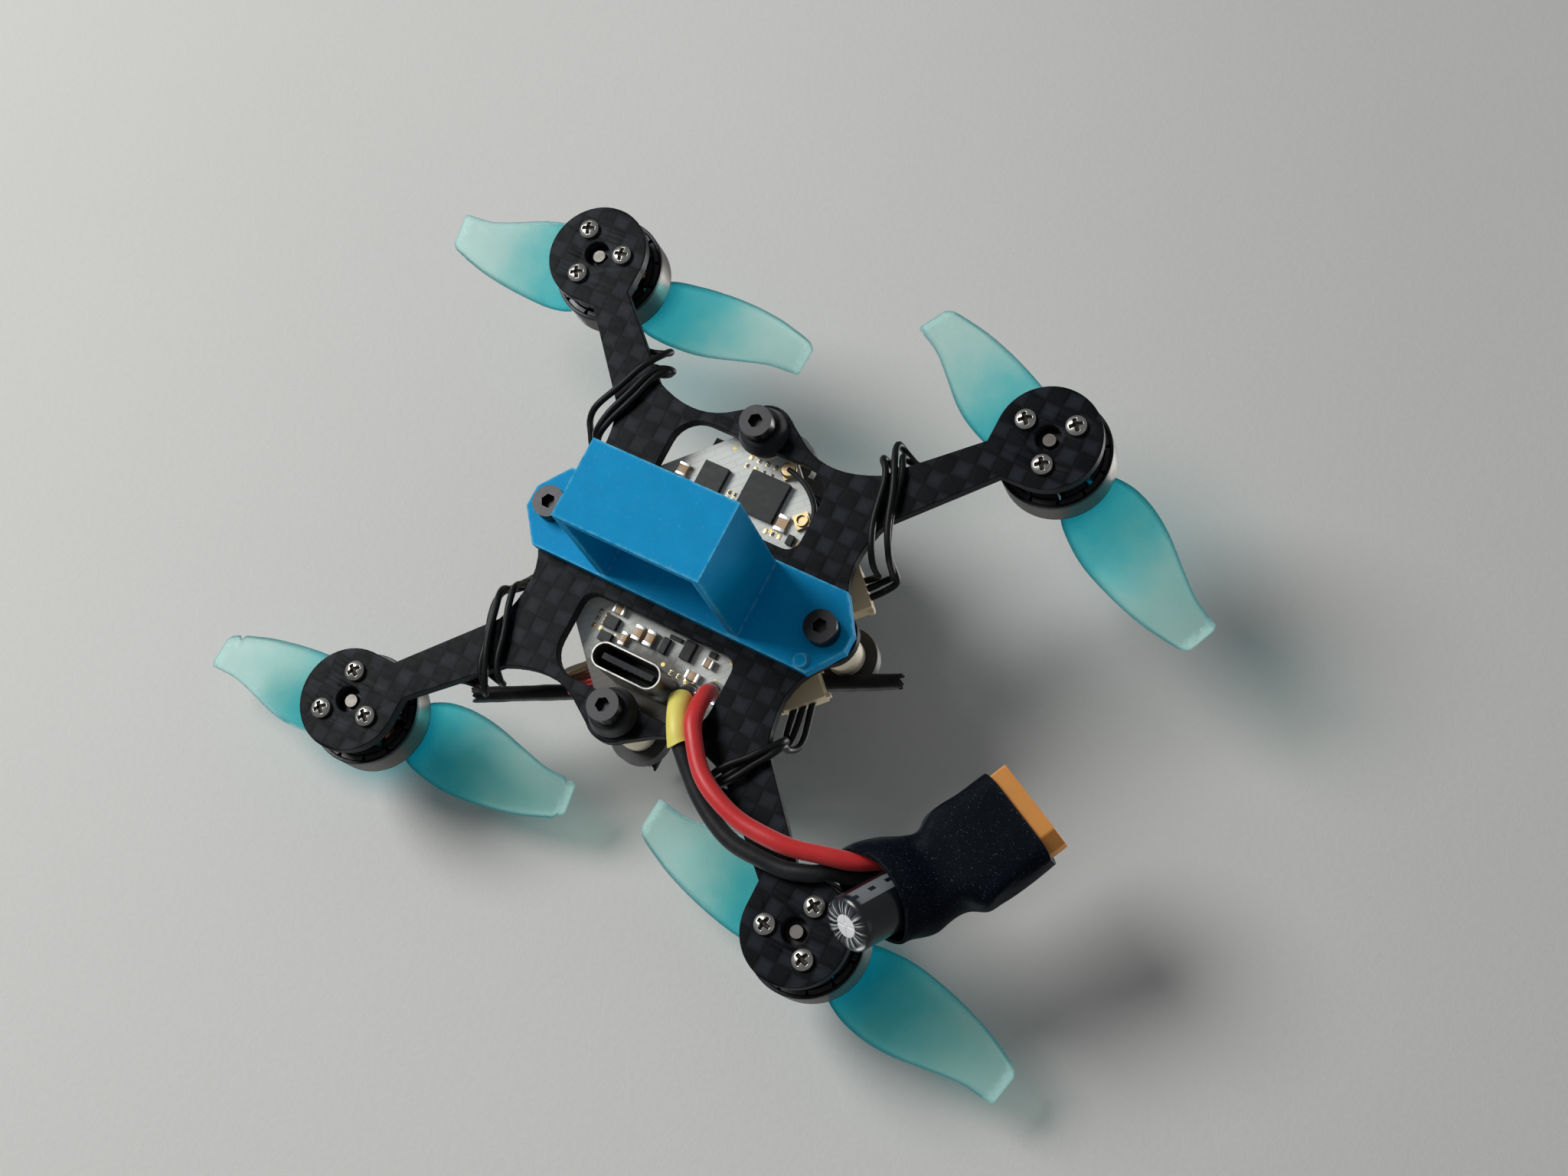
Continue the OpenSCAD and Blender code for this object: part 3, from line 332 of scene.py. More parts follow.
def jacket_finish(name, top, axis):
    """Black shrink jacket with a dashed pale stripe down one side, and pale radial streaks on its lip that
    are painted highlights of its wrinkles.
    """
    s = Shader(name)
    p = s.place()
    away = s.vector("SUBTRACT", p, top)
    side = axis.cross(Vector((0, 0, 1))).normalized()
    height = s.dot(away, axis)
    angle = s.math("ARCTAN2", s.dot(away, side), s.dot(away, axis.cross(side)))
    off = s.math("ABSOLUTE", angle + 0.4)
    dash = s.math("FRACT", height / 2.4)
    gap = s.ramp(dash, 0.35, 0.37) * (1.0 - s.ramp(dash, 0.70, 0.72))
    inner = 1.0 - s.ramp(off, 0.08, 0.10)
    stripe = s.math("SUBTRACT", 1.0 - s.ramp(off, 0.34, 0.37), gap * inner, clamp=True)
    stripe = stripe * (1.0 - s.ramp(height, -1.3, -0.7))
    reach = s.vector("LENGTH", away, output="Value")
    from_axis = s.math("SQRT", reach * reach - height * height)
    # Pale radial streaks on the lip: painted highlights, standing in for the glints of the jacket's
    # wrinkles.
    lip_painted_glints = s.noise(1.0, 3.0, 0.6, s.node("CombineXYZ", angle * 5.5, 0.0, 0.0))
    lip = s.ramp(height, -0.55, -0.1) * (1.0 - s.ramp(from_axis, 1.9, 3.0))
    base = s.mix(stripe, (0.006, 0.007, 0.010), (0.16, 0.175, 0.185))
    base = s.mix(s.ramp(lip_painted_glints, 0.48, 0.60) * lip, base, (0.62, 0.66, 0.68))
    base = s.mix(s.specks(p, 2.0, 0.62, 0.78) * 0.4, base, (0.4, 0.38, 0.35))
    return s.finish(Base_Color=base, Roughness=0.28, Coat_Weight=0.3,
        Normal=s.bump(s.noise(0.9, 4.0, 0.6, p), 0.04, 0.5))


# ---------------- mesh helpers

def smooth_rows(rows, per_span):
    """Catmull-Rom interpolation of rows of numbers."""
    values = np.array(rows, float)
    last = len(values) - 1
    dense = []
    for i in range(last):
        a, b, c, d = (values[min(max(k, 0), last)] for k in range(i - 1, i + 3))
        dense += [b + (c - a) * t / 2 + (2 * a - 5 * b + 4 * c - d) * t * t / 2
                  + (3 * b - a - 3 * c + d) * t ** 3 / 2 for t in (j / per_span for j in range(per_span))]
    return [[float(x) for x in row] for row in dense + [values[-1]]]


def smooth_line(points, per_span):
    return [Vector(row) for row in smooth_rows(points, per_span)]


def rounded_line(points, radius, steps=6):
    """The polyline with each corner eased over the given distance."""
    p = [Vector(q) for q in points]
    line = [p[0]]
    for a, b, c in zip(p, p[1:], p[2:]):
        start = b + (a - b).normalized() * min(radius, (a - b).length / 2)
        end = b + (c - b).normalized() * min(radius, (c - b).length / 2)
        line += [start * (1 - t) ** 2 + b * 2 * t * (1 - t) + end * t * t
                 for t in (k / steps for k in range(steps + 1))]
    line.append(p[-1])
    return [q for i, q in enumerate(line) if i == 0 or (q - line[i - 1]).length > 1e-4]


def wobble(line, amount, seed, ends=2):
    """Bends a line a little, smoothly along its length, keeping its ends."""
    rng = random.Random(seed)
    phase = [rng.uniform(0, 6.28) for _ in range(6)]
    out = []
    for i, p in enumerate(line):
        s = i * 0.35
        hold = min(1.0, i / ends, (len(line) - 1 - i) / ends)
        shift = Vector([sin(s * (0.6 + 0.2 * k) + phase[k]) + 0.5 * sin(s * 1.7 + phase[k + 3])
                        for k in range(3)])
        out.append(p + shift * amount * hold)
    return out


def frames(line):
    """Unit tangent and two side vectors at each point, turning as little as possible."""
    tangents = []
    for i in range(len(line)):
        a, b = line[max(i - 1, 0)], line[min(i + 1, len(line) - 1)]
        tangents.append((b - a).normalized())
    side = tangents[0].orthogonal().normalized()
    out = []
    for t in tangents:
        side = (side - t * side.dot(t)).normalized()
        out.append((t, side, t.cross(side)))
    return out


def circle(count):
    """Cosine and sine of evenly spread angles, with the angle itself."""
    return [(cos(a), sin(a), a) for a in (2 * pi * k / count for k in range(count))]


class Build:
    """Collects the vertices (millimetres) and faces of one piece."""

    def __init__(self):
        self.points, self.faces, self.slots, self.rim = [], [], [], []

    def add(self, points, faces, slot=0, rim=None):
        base = len(self.points)
        self.points += [tuple(p) for p in points]
        self.rim += list(rim) if rim is not None else [0.0] * len(points)
        self.faces += [tuple(base + i for i in face) for face in faces]
        self.slots += [slot] * len(faces)

    def loft(self, rings, caps=(True, True), slot=0, rim=None):
        m, n = len(rings[0]), len(rings)
        faces = [(i * m + k, i * m + (k + 1) % m, (i + 1) * m + (k + 1) % m, (i + 1) * m + k)
                 for i in range(n - 1) for k in range(m)]
        if caps[0]:
            faces.append(tuple(reversed(range(m))))
        if caps[1]:
            faces.append(tuple((n - 1) * m + k for k in range(m)))
        self.add([p for ring in rings for p in ring], faces, slot, rim)

    def sheath(self, outer, inner):
        """Open-ended wall between two sets of rings."""
        self.loft([inner[0]] + outer + inner[::-1], (False, False))

    def tube(self, line, radius, sides=14, caps=(True, True), slot=0):
        """Round tube; the radius may change along the line as a function of 0..1."""
        line = [Vector(p) for p in line]
        size = radius if callable(radius) else (lambda s: radius)
        rings = []
        for i, (p, (_, u, v)) in enumerate(zip(line, frames(line))):
            r = size(i / (len(line) - 1))
            rings.append([p + (u * ca + v * sa) * r for ca, sa, _ in circle(sides)])
        self.loft(rings, caps, slot)

    def lathe(self, profile, place=Matrix(), sides=48, slot=0, caps=(True, True)):
        """Turns (radius, height) pairs round the place's z axis."""
        rings = [[place @ Vector((r * ca, r * sa, h)) for ca, sa, _ in circle(sides)] for r, h in profile]
        self.loft(rings, caps, slot)

    def block(self, low, high, bevel=0.06, place=Matrix(), slot=0):
        """Box with bevelled edges."""
        low, high = Vector(low), Vector(high)
        bm = bmesh.new()
        bmesh.ops.create_cube(bm, size=1, matrix=Matrix.Translation((low + high) / 2)
                              @ Matrix.Diagonal((*(high - low), 1)))
        if bevel:
            width = min(bevel, 0.45 * min(high - low))
            bmesh.ops.bevel(bm, geom=bm.edges[:], offset=width, segments=2, profile=0.6, affect="EDGES")
        bm.verts.index_update()
        self.add([place @ v.co for v in bm.verts], [[v.index for v in f.verts] for f in bm.faces], slot)
        bm.free()

    def dome(self, place, radius, depth_at, side_from, sides=48, rings=20, slot=0, inside=None):
        """Round head whose top is a height map over x and y, with its side down to side_from.
        Faces where inside(x, y) is true take the next material slot."""
        rows = []
        for i in range(rings + 1):
            r = radius * (1 - i / rings)
            rows.append([place @ Vector((r * ca, r * sa, depth_at(r * ca, r * sa)))
                         for ca, sa, _ in circle(sides)])
        foot = [place @ Vector((radius * ca, radius * sa, side_from)) for ca, sa, _ in circle(sides)]
        self.loft([foot] + rows, (True, False), slot)
        if inside:
            first = len(self.slots) - 1 - sides * (rings + 1)
            for i in range(rings):
                r = radius * (1 - (i + 0.5) / rings)
                for k in range(sides):
                    a = 2 * pi * (k + 0.5) / sides
                    if inside(r * cos(a), r * sin(a)):
                        self.slots[first + (i + 1) * sides + k] = slot + 1

    def finish(self, name, materials, node=None, body="root", like=None, sharp=40, weld=1e-5, flats=False):
        """The piece as an object with the given materials, which rides a body and stands for a CAD node
        if one is given, hiding that node. The like argument is not used."""
        mesh = bpy.data.meshes.new(name)
        mesh.from_pydata([tuple(c * MM for c in p) for p in self.points], [], self.faces)
        for material in materials if isinstance(materials, (list, tuple)) else [materials]:
            mesh.materials.append(material)
        mesh.polygons.foreach_set("material_index", self.slots)
        if any(self.rim):
            mesh.attributes.new("rim", "FLOAT", "POINT").data.foreach_set("value", self.rim)
        bm = bmesh.new()
        bm.from_mesh(mesh)
        if weld:
            bmesh.ops.remove_doubles(bm, verts=bm.verts, dist=weld * MM)
        bmesh.ops.recalc_face_normals(bm, faces=bm.faces)
        limit = radians(sharp)
        for edge in bm.edges:
            edge.smooth = len(edge.link_faces) == 2 and edge.calc_face_angle(0) < limit
        for face in bm.faces:
            face.smooth = True
        bm.to_mesh(mesh)
        bm.free()
        piece = bpy.data.objects.new(name, mesh)
        link(piece)
        if flats:
            piece.modifiers.new("Normals", "WEIGHTED_NORMAL").keep_sharp = True
        if body:
            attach(piece, body)
        if node:
            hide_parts(node)
        return piece


def islands(node):
    """Lowest and highest corner, in millimetres, of each separate solid of a CAD node."""
    bm = bmesh.new()
    bm.from_mesh(NODES[node].data)
    bmesh.ops.remove_doubles(bm, verts=bm.verts, dist=1e-6)
    rest, found = set(bm.verts), []
    while rest:
        group, fresh = set(), {rest.pop()}
        while fresh:
            group |= fresh
            fresh = {e.other_vert(v) for v in fresh for e in v.link_edges} - group
        rest -= group
        found.append([Vector([pick(v.co[k] for v in group) for k in range(3)]) / MM for pick in (min, max)])
    bm.free()
    return sorted(found, key=lambda box: tuple(round(c, 3) for c in box[0]))


def dress(node, material, bevel):
    """Gives a CAD node its material and softened edges, bevel millimetres wide."""
    piece = NODES[node]
    piece.data.materials.clear()
    piece.data.materials.append(material)
    if bevel:
        piece.modifiers.new("Weld", "WELD").merge_threshold = 2e-6
        soft = piece.modifiers.new("Bevel", "BEVEL")
        soft.width = bevel * MM
        soft.segments = 2
        soft.limit_method = "ANGLE"
        soft.angle_limit = radians(38)
        soft.use_clamp_overlap = True
        soft.harden_normals = False
        piece.modifiers.new("Normals", "WEIGHTED_NORMAL").keep_sharp = True


def face_loops(node, height):
    """Closed edge loops of a CAD node's flat face at a height, in millimetres."""
    bm = bmesh.new()
    bm.from_mesh(NODES[node].data)
    bmesh.ops.remove_doubles(bm, verts=bm.verts, dist=1e-6)
    flat = {f for f in bm.faces if all(abs(v.co.z / MM - height) < 1e-3 for v in f.verts)}
    after = {}
    for face in flat:
        for loop in face.loops:
            if sum(f in flat for f in loop.edge.link_faces) == 1:
                after[loop.vert.index] = loop.link_loop_next.vert.index
    spots = {v.index: v.co / MM for v in bm.verts}
    bm.free()
    loops = []
    while after:
        start = min(after)
        ring, v = [], start
        while v in after:
            ring.append(spots[v])
            v = after.pop(v)
        loops.append(ring)
    return loops


def slab(name, node, z0, z1, bevel, material):
    """The CAD node's outline as a plate with rounded edges, holes included."""
    curve = bpy.data.curves.new(name, "CURVE")
    curve.dimensions = "2D"
    curve.fill_mode = "BOTH"
    curve.bevel_depth = bevel * MM
    curve.bevel_resolution = 2
    curve.offset = -bevel * MM
    curve.extrude = ((z1 - z0) / 2 - bevel) * MM
    for ring in face_loops(node, z0):
        spline = curve.splines.new("POLY")
        spline.points.add(len(ring) - 1)
        for point, q in zip(spline.points, ring):
            point.co = (q.x * MM, q.y * MM, 0, 1)
        spline.use_cyclic_u = True
    temporary = bpy.data.objects.new(name + "_outline", curve)
    link(temporary)
    graph = bpy.context.evaluated_depsgraph_get()
    mesh = bpy.data.meshes.new_from_object(temporary.evaluated_get(graph))
    bpy.data.objects.remove(temporary)
    piece = Build()
    piece.add([(v.co.x / MM, v.co.y / MM, v.co.z / MM + (z0 + z1) / 2) for v in mesh.vertices],
              [tuple(face.vertices) for face in mesh.polygons])
    return piece.finish(name, material, node, sharp=50, weld=1e-3, flats=True)


def cross_recess(radius, height, arm=0.72, width=0.17, deep=0.45):
    """Height map of a domed head with a cross recess."""
    def at(x, y):
        r = hypot(x, y) / radius
        top = height * (1 - 0.42 * r ** 2.6)
        slim, far = min(abs(x), abs(y)), max(abs(x), abs(y))
        across = 1 - min(1, max(0, (slim - width) / 0.06))
        along = 1 - min(1, max(0, (far - arm) / 0.10))
        centre = 1 - min(1, max(0, (r * radius - 0.30) / 0.10))
        return top - deep * max(across * along * (1 - 0.35 * far / arm), centre)
    return at


# ---------------- materials

CARBON = carbon("carbon_weave")
# The holder's pale edges are partly wear and partly painted highlight where the edges catch the light.
BLUE = plastic("holder_blue", (0.0, 0.255, 0.53), 0.46, 0.22, ((0.16, 0.56, 0.74), 0.6, 0.95), grain=0.03,
    grain_scale=4.0, shine=0.05, dust_color=(0.20, 0.52, 0.68), haze=0.10, speck=1.7, speck_from=0.58)
WHITE_BOARD = board_finish("white_solder_mask")
SCREW_STEEL = metal("plated_screw_steel", (0.52, 0.51, 0.48), 0.28, 0.35)
# Near-black metal for the screws' cross recesses and centres: painted shade inside them.
RECESS_PAINTED_SHADE = metal("screw_recess_painted_shade", (0.035, 0.032, 0.028), 0.55, 0.5, dark=(0.008, 0.007, 0.006))
BLACK_STEEL = metal("black_oxide_steel", (0.034, 0.034, 0.036), 0.36, 0.25, dark=(0.07, 0.065, 0.055))
# Shaft steel darkened far below bare steel: painted shade where the shaft ends sit in the motors' centre
# bores.
SHAFT_STEEL_PAINTED_SHADE = metal("ground_shaft_steel_painted_shade", (0.14, 0.13, 0.12), 0.42, 0.35, (0.3, 0.3, 6.0))
SHELL_STEEL = metal("folded_shell_steel", (0.34, 0.33, 0.31), 0.36, 0.45, (1.0, 1.0, 0.3))
GOLD = metal("gold_plate", (0.52, 0.40, 0.22), 0.34, 0.35)
# Gold darkened to brown for the contacts in the USB socket: painted shade inside the socket.
GOLD_IN_PAINTED_SHADE = metal("gold_contacts_painted_shade", (0.10, 0.08, 0.05), 0.5, 0.4)
TIN = metal("tinned_ends", (0.66, 0.66, 0.64), 0.34, 0.3)
NICKEL = metal("magnet_nickel", (0.10, 0.10, 0.105), 0.42, 0.4)
# Near-black bearing shields: painted shade in the motors' centre bores.
BEARING_SHIELD_PAINTED_SHADE = metal("bearing_shield_painted_shade", (0.035, 0.035, 0.038), 0.40, 0.3)
ALUMINIUM = plastic("satin_aluminium", (0.80, 0.81, 0.82), 0.42, 0.05, shine=0.9, grain=0.01)
LAMINATION = metal("stator_laminations", (0.09, 0.10, 0.12), 0.42, 0.4, (0.2, 0.2, 14.0), 0.03)
COPPER = copper_finish("enamelled_copper")
BELL = bell_finish("anodised_bell")
BASE_ALLOY = metal("anodised_base", (0.022, 0.022, 0.025), 0.36, 0.3, (0.4, 0.4, 8.0))
RUBBER = plastic("black_rubber", (0.009, 0.010, 0.012), 0.66, 0.06, shine=0.2, grain=0.05, grain_scale=2.5,
    sheen=0.1)
SILICONE = plastic("cream_silicone", (0.68, 0.62, 0.46), 0.55, 0.22, grain=0.02, soft=0.2)
RED_WIRE = plastic("red_silicone_wire", (0.56, 0.022, 0.024), 0.40, 0.05, grain=0.02, grain_scale=3.0,
    sheen=0.15)
BLACK_WIRE = plastic("black_silicone_wire", (0.010, 0.011, 0.013), 0.52, 0.07, shine=0.2, grain=0.02,
    grain_scale=3.0, sheen=0.1)
MOTOR_WIRE = plastic("thin_black_wire", (0.004, 0.0045, 0.005), 0.46, 0.03, shine=0.2, grain=0.015,
    grain_scale=3.0)
BROWN_WIRE = plastic("brown_wire", (0.16, 0.05, 0.02), 0.40, 0.15, grain=0.015)
YELLOW = plastic("yellow_sleeving", (0.76, 0.66, 0.15), 0.42, 0.12, grain=0.02, grain_scale=3.0, soft=0.15)
SHRINK = plastic("black_heat_shrink", (0.0010, 0.0026, 0.0056), 0.56, 0.55,
    wear=((0.06, 0.065, 0.07), 0.5, 0.3), grain=0.03, grain_scale=2.2, shine=0.055, haze=0.006, speck=4.5,
    speck_from=0.592, dust_color=(0.29, 0.33, 0.37))
AMBER = plastic("amber_nylon", (0.60, 0.26, 0.060), 0.40, 0.08, ((0.85, 0.62, 0.35), 0.2, 0.5), shine=0.2,
    soft=0.6)
CREAM = plastic("cream_connector", (0.66, 0.56, 0.36), 0.42, 0.2, grain=0.015, soft=0.1)
CERAMIC = plastic("tan_ceramic", (0.42, 0.27, 0.14), 0.4, 0.12, grain=0.01)
CHIP = plastic("chip_package", (0.007, 0.008, 0.010), 0.45, 0.04, shine=0.25,
    wear=((0.10, 0.10, 0.10), 0.1, 0.5), grain=0.012, grain_scale=14.0)
GREY = plastic("grey_moulding", (0.012, 0.013, 0.016), 0.50, 0.05, grain=0.01, shine=0.15)
SHELL = plastic("canopy_black", (0.022, 0.022, 0.025), 0.46, 0.06, shine=0.4,
    wear=((0.09, 0.09, 0.095), 0.4, 0.5), grain=0.035, grain_scale=7.0)
CAMERA_BLACK = plastic("camera_black", (0.020, 0.020, 0.023), 0.38, 0.12, ((0.10, 0.10, 0.10), 0.25, 0.5),
    grain=0.012, grain_scale=12.0)
ANTENNA = plastic("antenna_tubing", (0.006, 0.006, 0.007), 0.50, 0.08, shine=0.2, grain=0.05,
    grain_scale=1.6)
BRAID = metal("coax_braid", (0.62, 0.58, 0.50), 0.38, 0.3)
LENS_GLASS = glass_finish("coated_lens_glass")
SOLDER = metal("solder", (0.66, 0.66, 0.68), 0.22, 0.2)


# ---------------- frame and board

slab("plate_with_rounded_edges", "frame_plate", 0.0, 1.5, 0.14, CARBON)
for node, material, bevel in (
        ("flight_board", WHITE_BOARD, 0.05), ("radio_processor", CHIP, 0.06), ("board_chips", CHIP, 0.05),
        ("board_grommets", SILICONE, 0.25), ("stack_nuts", BLACK_STEEL, 0.12),
        ("stack_screws", BLACK_STEEL, 0.14), ("belly_washers", RUBBER, 0.25),
        ("usb_shell", SHELL_STEEL, 0.08), ("usb_tongue", GREY, 0.06), ("boot_switch", SHELL_STEEL, 0.1),
        ("boot_button", GREY, 0.12), ("esc_transistors", CHIP, 0.06), ("motor_sockets", CREAM, 0.08),
        ("motor_plugs", CREAM, 0.12), ("battery_holder", BLUE, 0.28), ("battery_plug", AMBER, 0.15),
        ("plug_contacts", GOLD, 0.08), ("motor_bases", BASE_ALLOY, 0.12), ("motor_stators", LAMINATION, 0),
        ("motor_bearings", BEARING_SHIELD_PAINTED_SHADE, 0.08), ("canopy", SHELL, 0.3), ("camera_body", CAMERA_BLACK, 0.25),
        ("camera_lens", CAMERA_BLACK, 0.18), ("lens_glass", LENS_GLASS, 0),
        ("camera_screws", BLACK_STEEL, 0.12), ("camera_plug", CREAM, 0.1), ("antenna_sockets", GOLD, 0.05)):
    dress(node, material, bevel)
for corner in CORNERS:
    for part, material, bevel in (("bell_", BELL, 0.12), ("magnets_", NICKEL, 0.06),
                                  ("shaft_", SHAFT_STEEL_PAINTED_SHADE, 0.14)):
        dress(part + corner, material, bevel)

# Ceramic capacitors with tinned ends
piece = Build()
for low, high in islands("board_capacitors"):
    long = 0 if high.x - low.x > high.y - low.y else 1
    span = high[long] - low[long]
    for start, end, slot, shrink in ((0, 0.24, 1, 0), (0.2, 0.8, 0, 0.04), (0.76, 1, 1, 0)):
        a, b = low.copy(), high.copy()
        a[long], b[long] = low[long] + span * start, low[long] + span * end
        a.z += shrink
        a[1 - long] += shrink
        b[1 - long] -= shrink
        piece.block(a, b, 0.07, slot=slot)
piece.finish("capacitors_with_tinned_ends", [CERAMIC, TIN], "board_capacitors", sharp=50, flats=True)

# Cross-recessed motor screws: dome towards the belly, shank up into the motor; the recess and centre faces
# take a near-black metal, painted shade
piece = Build()
for low, high in islands("motor_screws"):
    centre = (low + high) / 2
    down = Matrix.Translation((centre.x, centre.y, 0)) @ Matrix.Rotation(pi, 4, "X") \
        @ Matrix.Rotation(centre.x * 1.7 + centre.y, 4, "Z")
    radius = (high.x - low.x) / 2
    piece.dome(down, radius, cross_recess(radius, -low.z), 0.0, 64, 26,
               inside=lambda x, y: (min(abs(x), abs(y)) < 0.19 and max(abs(x), abs(y)) < 0.76)
               or hypot(x, y) < 0.36)
    piece.lathe([(0.7, 0), (0.7, -high.z + 0.1), (0.6, -high.z)], down, 24)
piece.finish("cross_recessed_screws", [SCREW_STEEL, RECESS_PAINTED_SHADE], "motor_screws", sharp=50)


# ---------------- motors

# Enamelled turns round every tooth, in place of the plain winding blocks
piece = Build()
TEETH = 9
for corner in CORNERS:
    turn = atan2(SIGN[corner][1], SIGN[corner][0])
    for k in range(TEETH):
        place = Matrix.Translation((MOTOR[corner].x, MOTOR[corner].y, 0)) \
            @ Matrix.Rotation(turn + 2 * pi * k / TEETH, 4, "Z")
        for row in range(6):
            x = 3.27 + 0.29 * row
            half, low, high = 0.64, 4.24, 7.56
            ring = rounded_line([(x, 0, low), (x, half, low), (x, half, high), (x, -half, high),
                (x, -half, low), (x, 0.01, low)], 0.35, 3)
            piece.tube([place @ p for p in ring], 0.145, 6, (False, False))
piece.finish("wound_coils", COPPER, "motor_windings")

# Motor wires: along the arm, over its inner edge in a loose loop, under the plate,
# up past the outer edge and into the plug; three in each bundle. Per wire: how far
# the loop stands off the inner edge, how far it strays along the arm, and its drop
# Per motor: where the bundle crosses the inner edge, where it leaves the outer one,
# how far out it goes there and how far out it climbs
ROUTE = {"front_left": (26.2, 21, 6.0, 6.9), "front_right": (25.6, 21, 6.0, 6.9),
    "rear_left": (24.6, 22.4, 4.6, 4.0), "rear_right": (26.0, 21, 6.0, 6.9)}
LOOSE = [(0.3, 0.0, 0.0), (1.7, 0.9, 0.55), (0.9, -0.5, 0.2)]
for index, corner in enumerate(CORNERS):
    qx, qy = SIGN[corner]
    crossing, leaving, edge, climb = ROUTE[corner]
    piece = Build()

    def on_arm(along, across, z):
        return (qx * (along + across) / sqrt(2), qy * (along - across) / sqrt(2), z)

    for j, k in enumerate((-1.1, 0.0, 1.1)):
        off, stray, drop = LOOSE[(j + index) % 3]
        off = off * (1.0 if index % 2 == 0 else 0.6)
        inner = crossing - 0.8 * k
        outer = leaving - 0.8 * k + 0.6 * stray
        line = rounded_line([on_arm(37.2, k, 2.07), on_arm(inner + 3.0, k, 2.07),
            on_arm(inner + stray, -3.9 - off, 2.0), on_arm(inner + stray - 0.3, -4.1 - off, 0.0),
            on_arm(inner - 0.6, -2.4, -0.60 - drop), on_arm((inner + outer) / 2 + 0.4 * stray, 1.0,
            -0.62 - drop), on_arm(outer + 1.0, edge - 1.8, -0.60 - drop),
            on_arm(outer + 0.2 * stray, edge + 0.3 * off, 0.2), on_arm(outer - 0.2, climb + 0.3 * off,
            3.4), on_arm(outer - 0.8, min(climb + 0.5, 7.4) - 0.9 * k, 5.3), on_arm(17.2, 7.4 - k, 5.3)],
            2.4, 5)
        piece.tube(wobble(line, 0.12, index * 5 + j), 0.4, 12)
    piece.finish("soft_motor_wires_" + corner, MOTOR_WIRE, "motor_wires_" + corner)


# ---------------- propellers

LEADING = [(2, 1.5), (4, 3.4), (6.5, 4.3), (10, 4.8), (15, 4.6), (19.5, 3.95), (22.5, 3.15), (24.2, 2.6),
    (25.1, 2.15), (25.6, 1.5)]
TRAILING = [(2, -1.5), (4, -3.7), (7, -4.8), (10.5, -5.1), (14, -4.65), (18, -3.45), (21.5, -2.5),
    (24.6, -2.35), (25.3, -2.35), (25.6, -2.1)]
SECTION = [(0, 0), (0.012, 0.22), (0.035, 0.38), (0.08, 0.58), (0.16, 0.80), (0.26, 0.96), (0.36, 1.0),
    (0.48, 0.94), (0.6, 0.82), (0.72, 0.66), (0.84, 0.48), (0.93, 0.33), (0.985, 0.24), (1, 0.14),
    (0.985, 0.06), (0.93, 0.02), (0.84, -0.02), (0.7, -0.05), (0.5, -0.08), (0.33, -0.1), (0.2, -0.12),
    (0.1, -0.15), (0.04, -0.17), (0.012, -0.12)]


def edge_curve(points):
    line = smooth_line([(r, y, 0) for r, y in points], 8)
    return [p.x for p in line], [p.y for p in line]


LEAD_R, LEAD_Y = edge_curve(LEADING)
TRAIL_R, TRAIL_Y = edge_curve(TRAILING)


def ragged(seed, start, depth, step=0.35):
    """Small bites out of an edge beyond a radius, as a function of the radius."""
    rng = random.Random(seed)
    bites = [max(0.0, rng.gauss(0, 1)) ** 1.6 * depth * 0.5 for _ in range(90)]

    def bite(r):
        if r < start:
            return 0.0
        s = (r - start) / step
        i = int(s)
        return (bites[i] * (1 - s + i) + bites[i + 1] * (s - i)) * min(1.0, (r - start) / 1.5)
    return bite


def blade_rings(spin, lead_bite, trail_bite, tip):
    rings, rim = [], []
    radii = list(np.linspace(1.4, 21, 36)) + list(np.linspace(21.2, 25.0, 26)) + \
        list(np.linspace(25.08, 25.58, 8))
    for r in radii:
        front = float(np.interp(r, LEAD_R, LEAD_Y)) - lead_bite(r)
        back = float(np.interp(r, TRAIL_R, TRAIL_Y)) + trail_bite(r)
        chord = max(front - back, 0.25)
        pitch = radians(min(24, 4 + 2.6 * r, degrees(atan(30 / (2 * pi * r)))))
        thick = 0.95 - 0.55 * r / 25.6 - 0.25 * max(0.0, r - 24.6)
        ring = []
        for u, t in SECTION:
            y = front - chord * u
            ring.append(((r if r < 24 else 24 + (r - 24) * tip), spin * y,
                y * tan(pitch) + thick * (t - 0.5)))
            near = min(u, 1 - u) * chord
            rim.append(1.0 if near < 0.22 or r > 25.45 else max(0.0, 1 - (near - 0.22) / 0.3))
        rings.append(ring)
    return rings, rim


PROPS = {"front_left": (1, 27, 0.26, 0.99), "front_right": (-1, -2, 0.16, 1.0),
    "rear_left": (-1, 9.5, 0.08, 1.0), "rear_right": (1, -3.5, 0.32, 0.98)}
for index, (corner, (spin, heading, wear, tip)) in enumerate(PROPS.items()):
    centre = MOTOR[corner]
    hub = Matrix.Translation((centre.x, centre.y, 0)) @ Matrix.Rotation(radians(heading), 4, "Z")
    piece = Build()
    for half in (0, 1):
        rings, rim = blade_rings(spin, ragged(index * 7 + half, 23.0, wear),
            ragged(index * 7 + half + 3, 23.4, wear * 0.8), tip)
        place = hub @ Matrix.Rotation(pi * half, 4, "Z") @ Matrix.Translation((0, 0, 11.6))
        piece.loft([[place @ Vector(p) for p in ring] for ring in rings], rim=rim)
    profile = [(0.77, 9.82), (1.9, 9.82), (2.45, 9.86), (2.6, 10.05), (2.6, 13.1), (2.5, 13.3),
        (2.3, 13.38), (1.5, 13.38), (1.35, 13.2), (0.85, 13.2), (0.77, 13.1), (0.77, 9.82)]
    piece.lathe(profile, hub, 56, caps=(False, False))
    piece.finish("blades_" + corner, blade_plastic("turquoise_" + corner, centre), "propeller_" + corner,
        "rotor_" + corner, sharp=50)


# ---------------- battery side

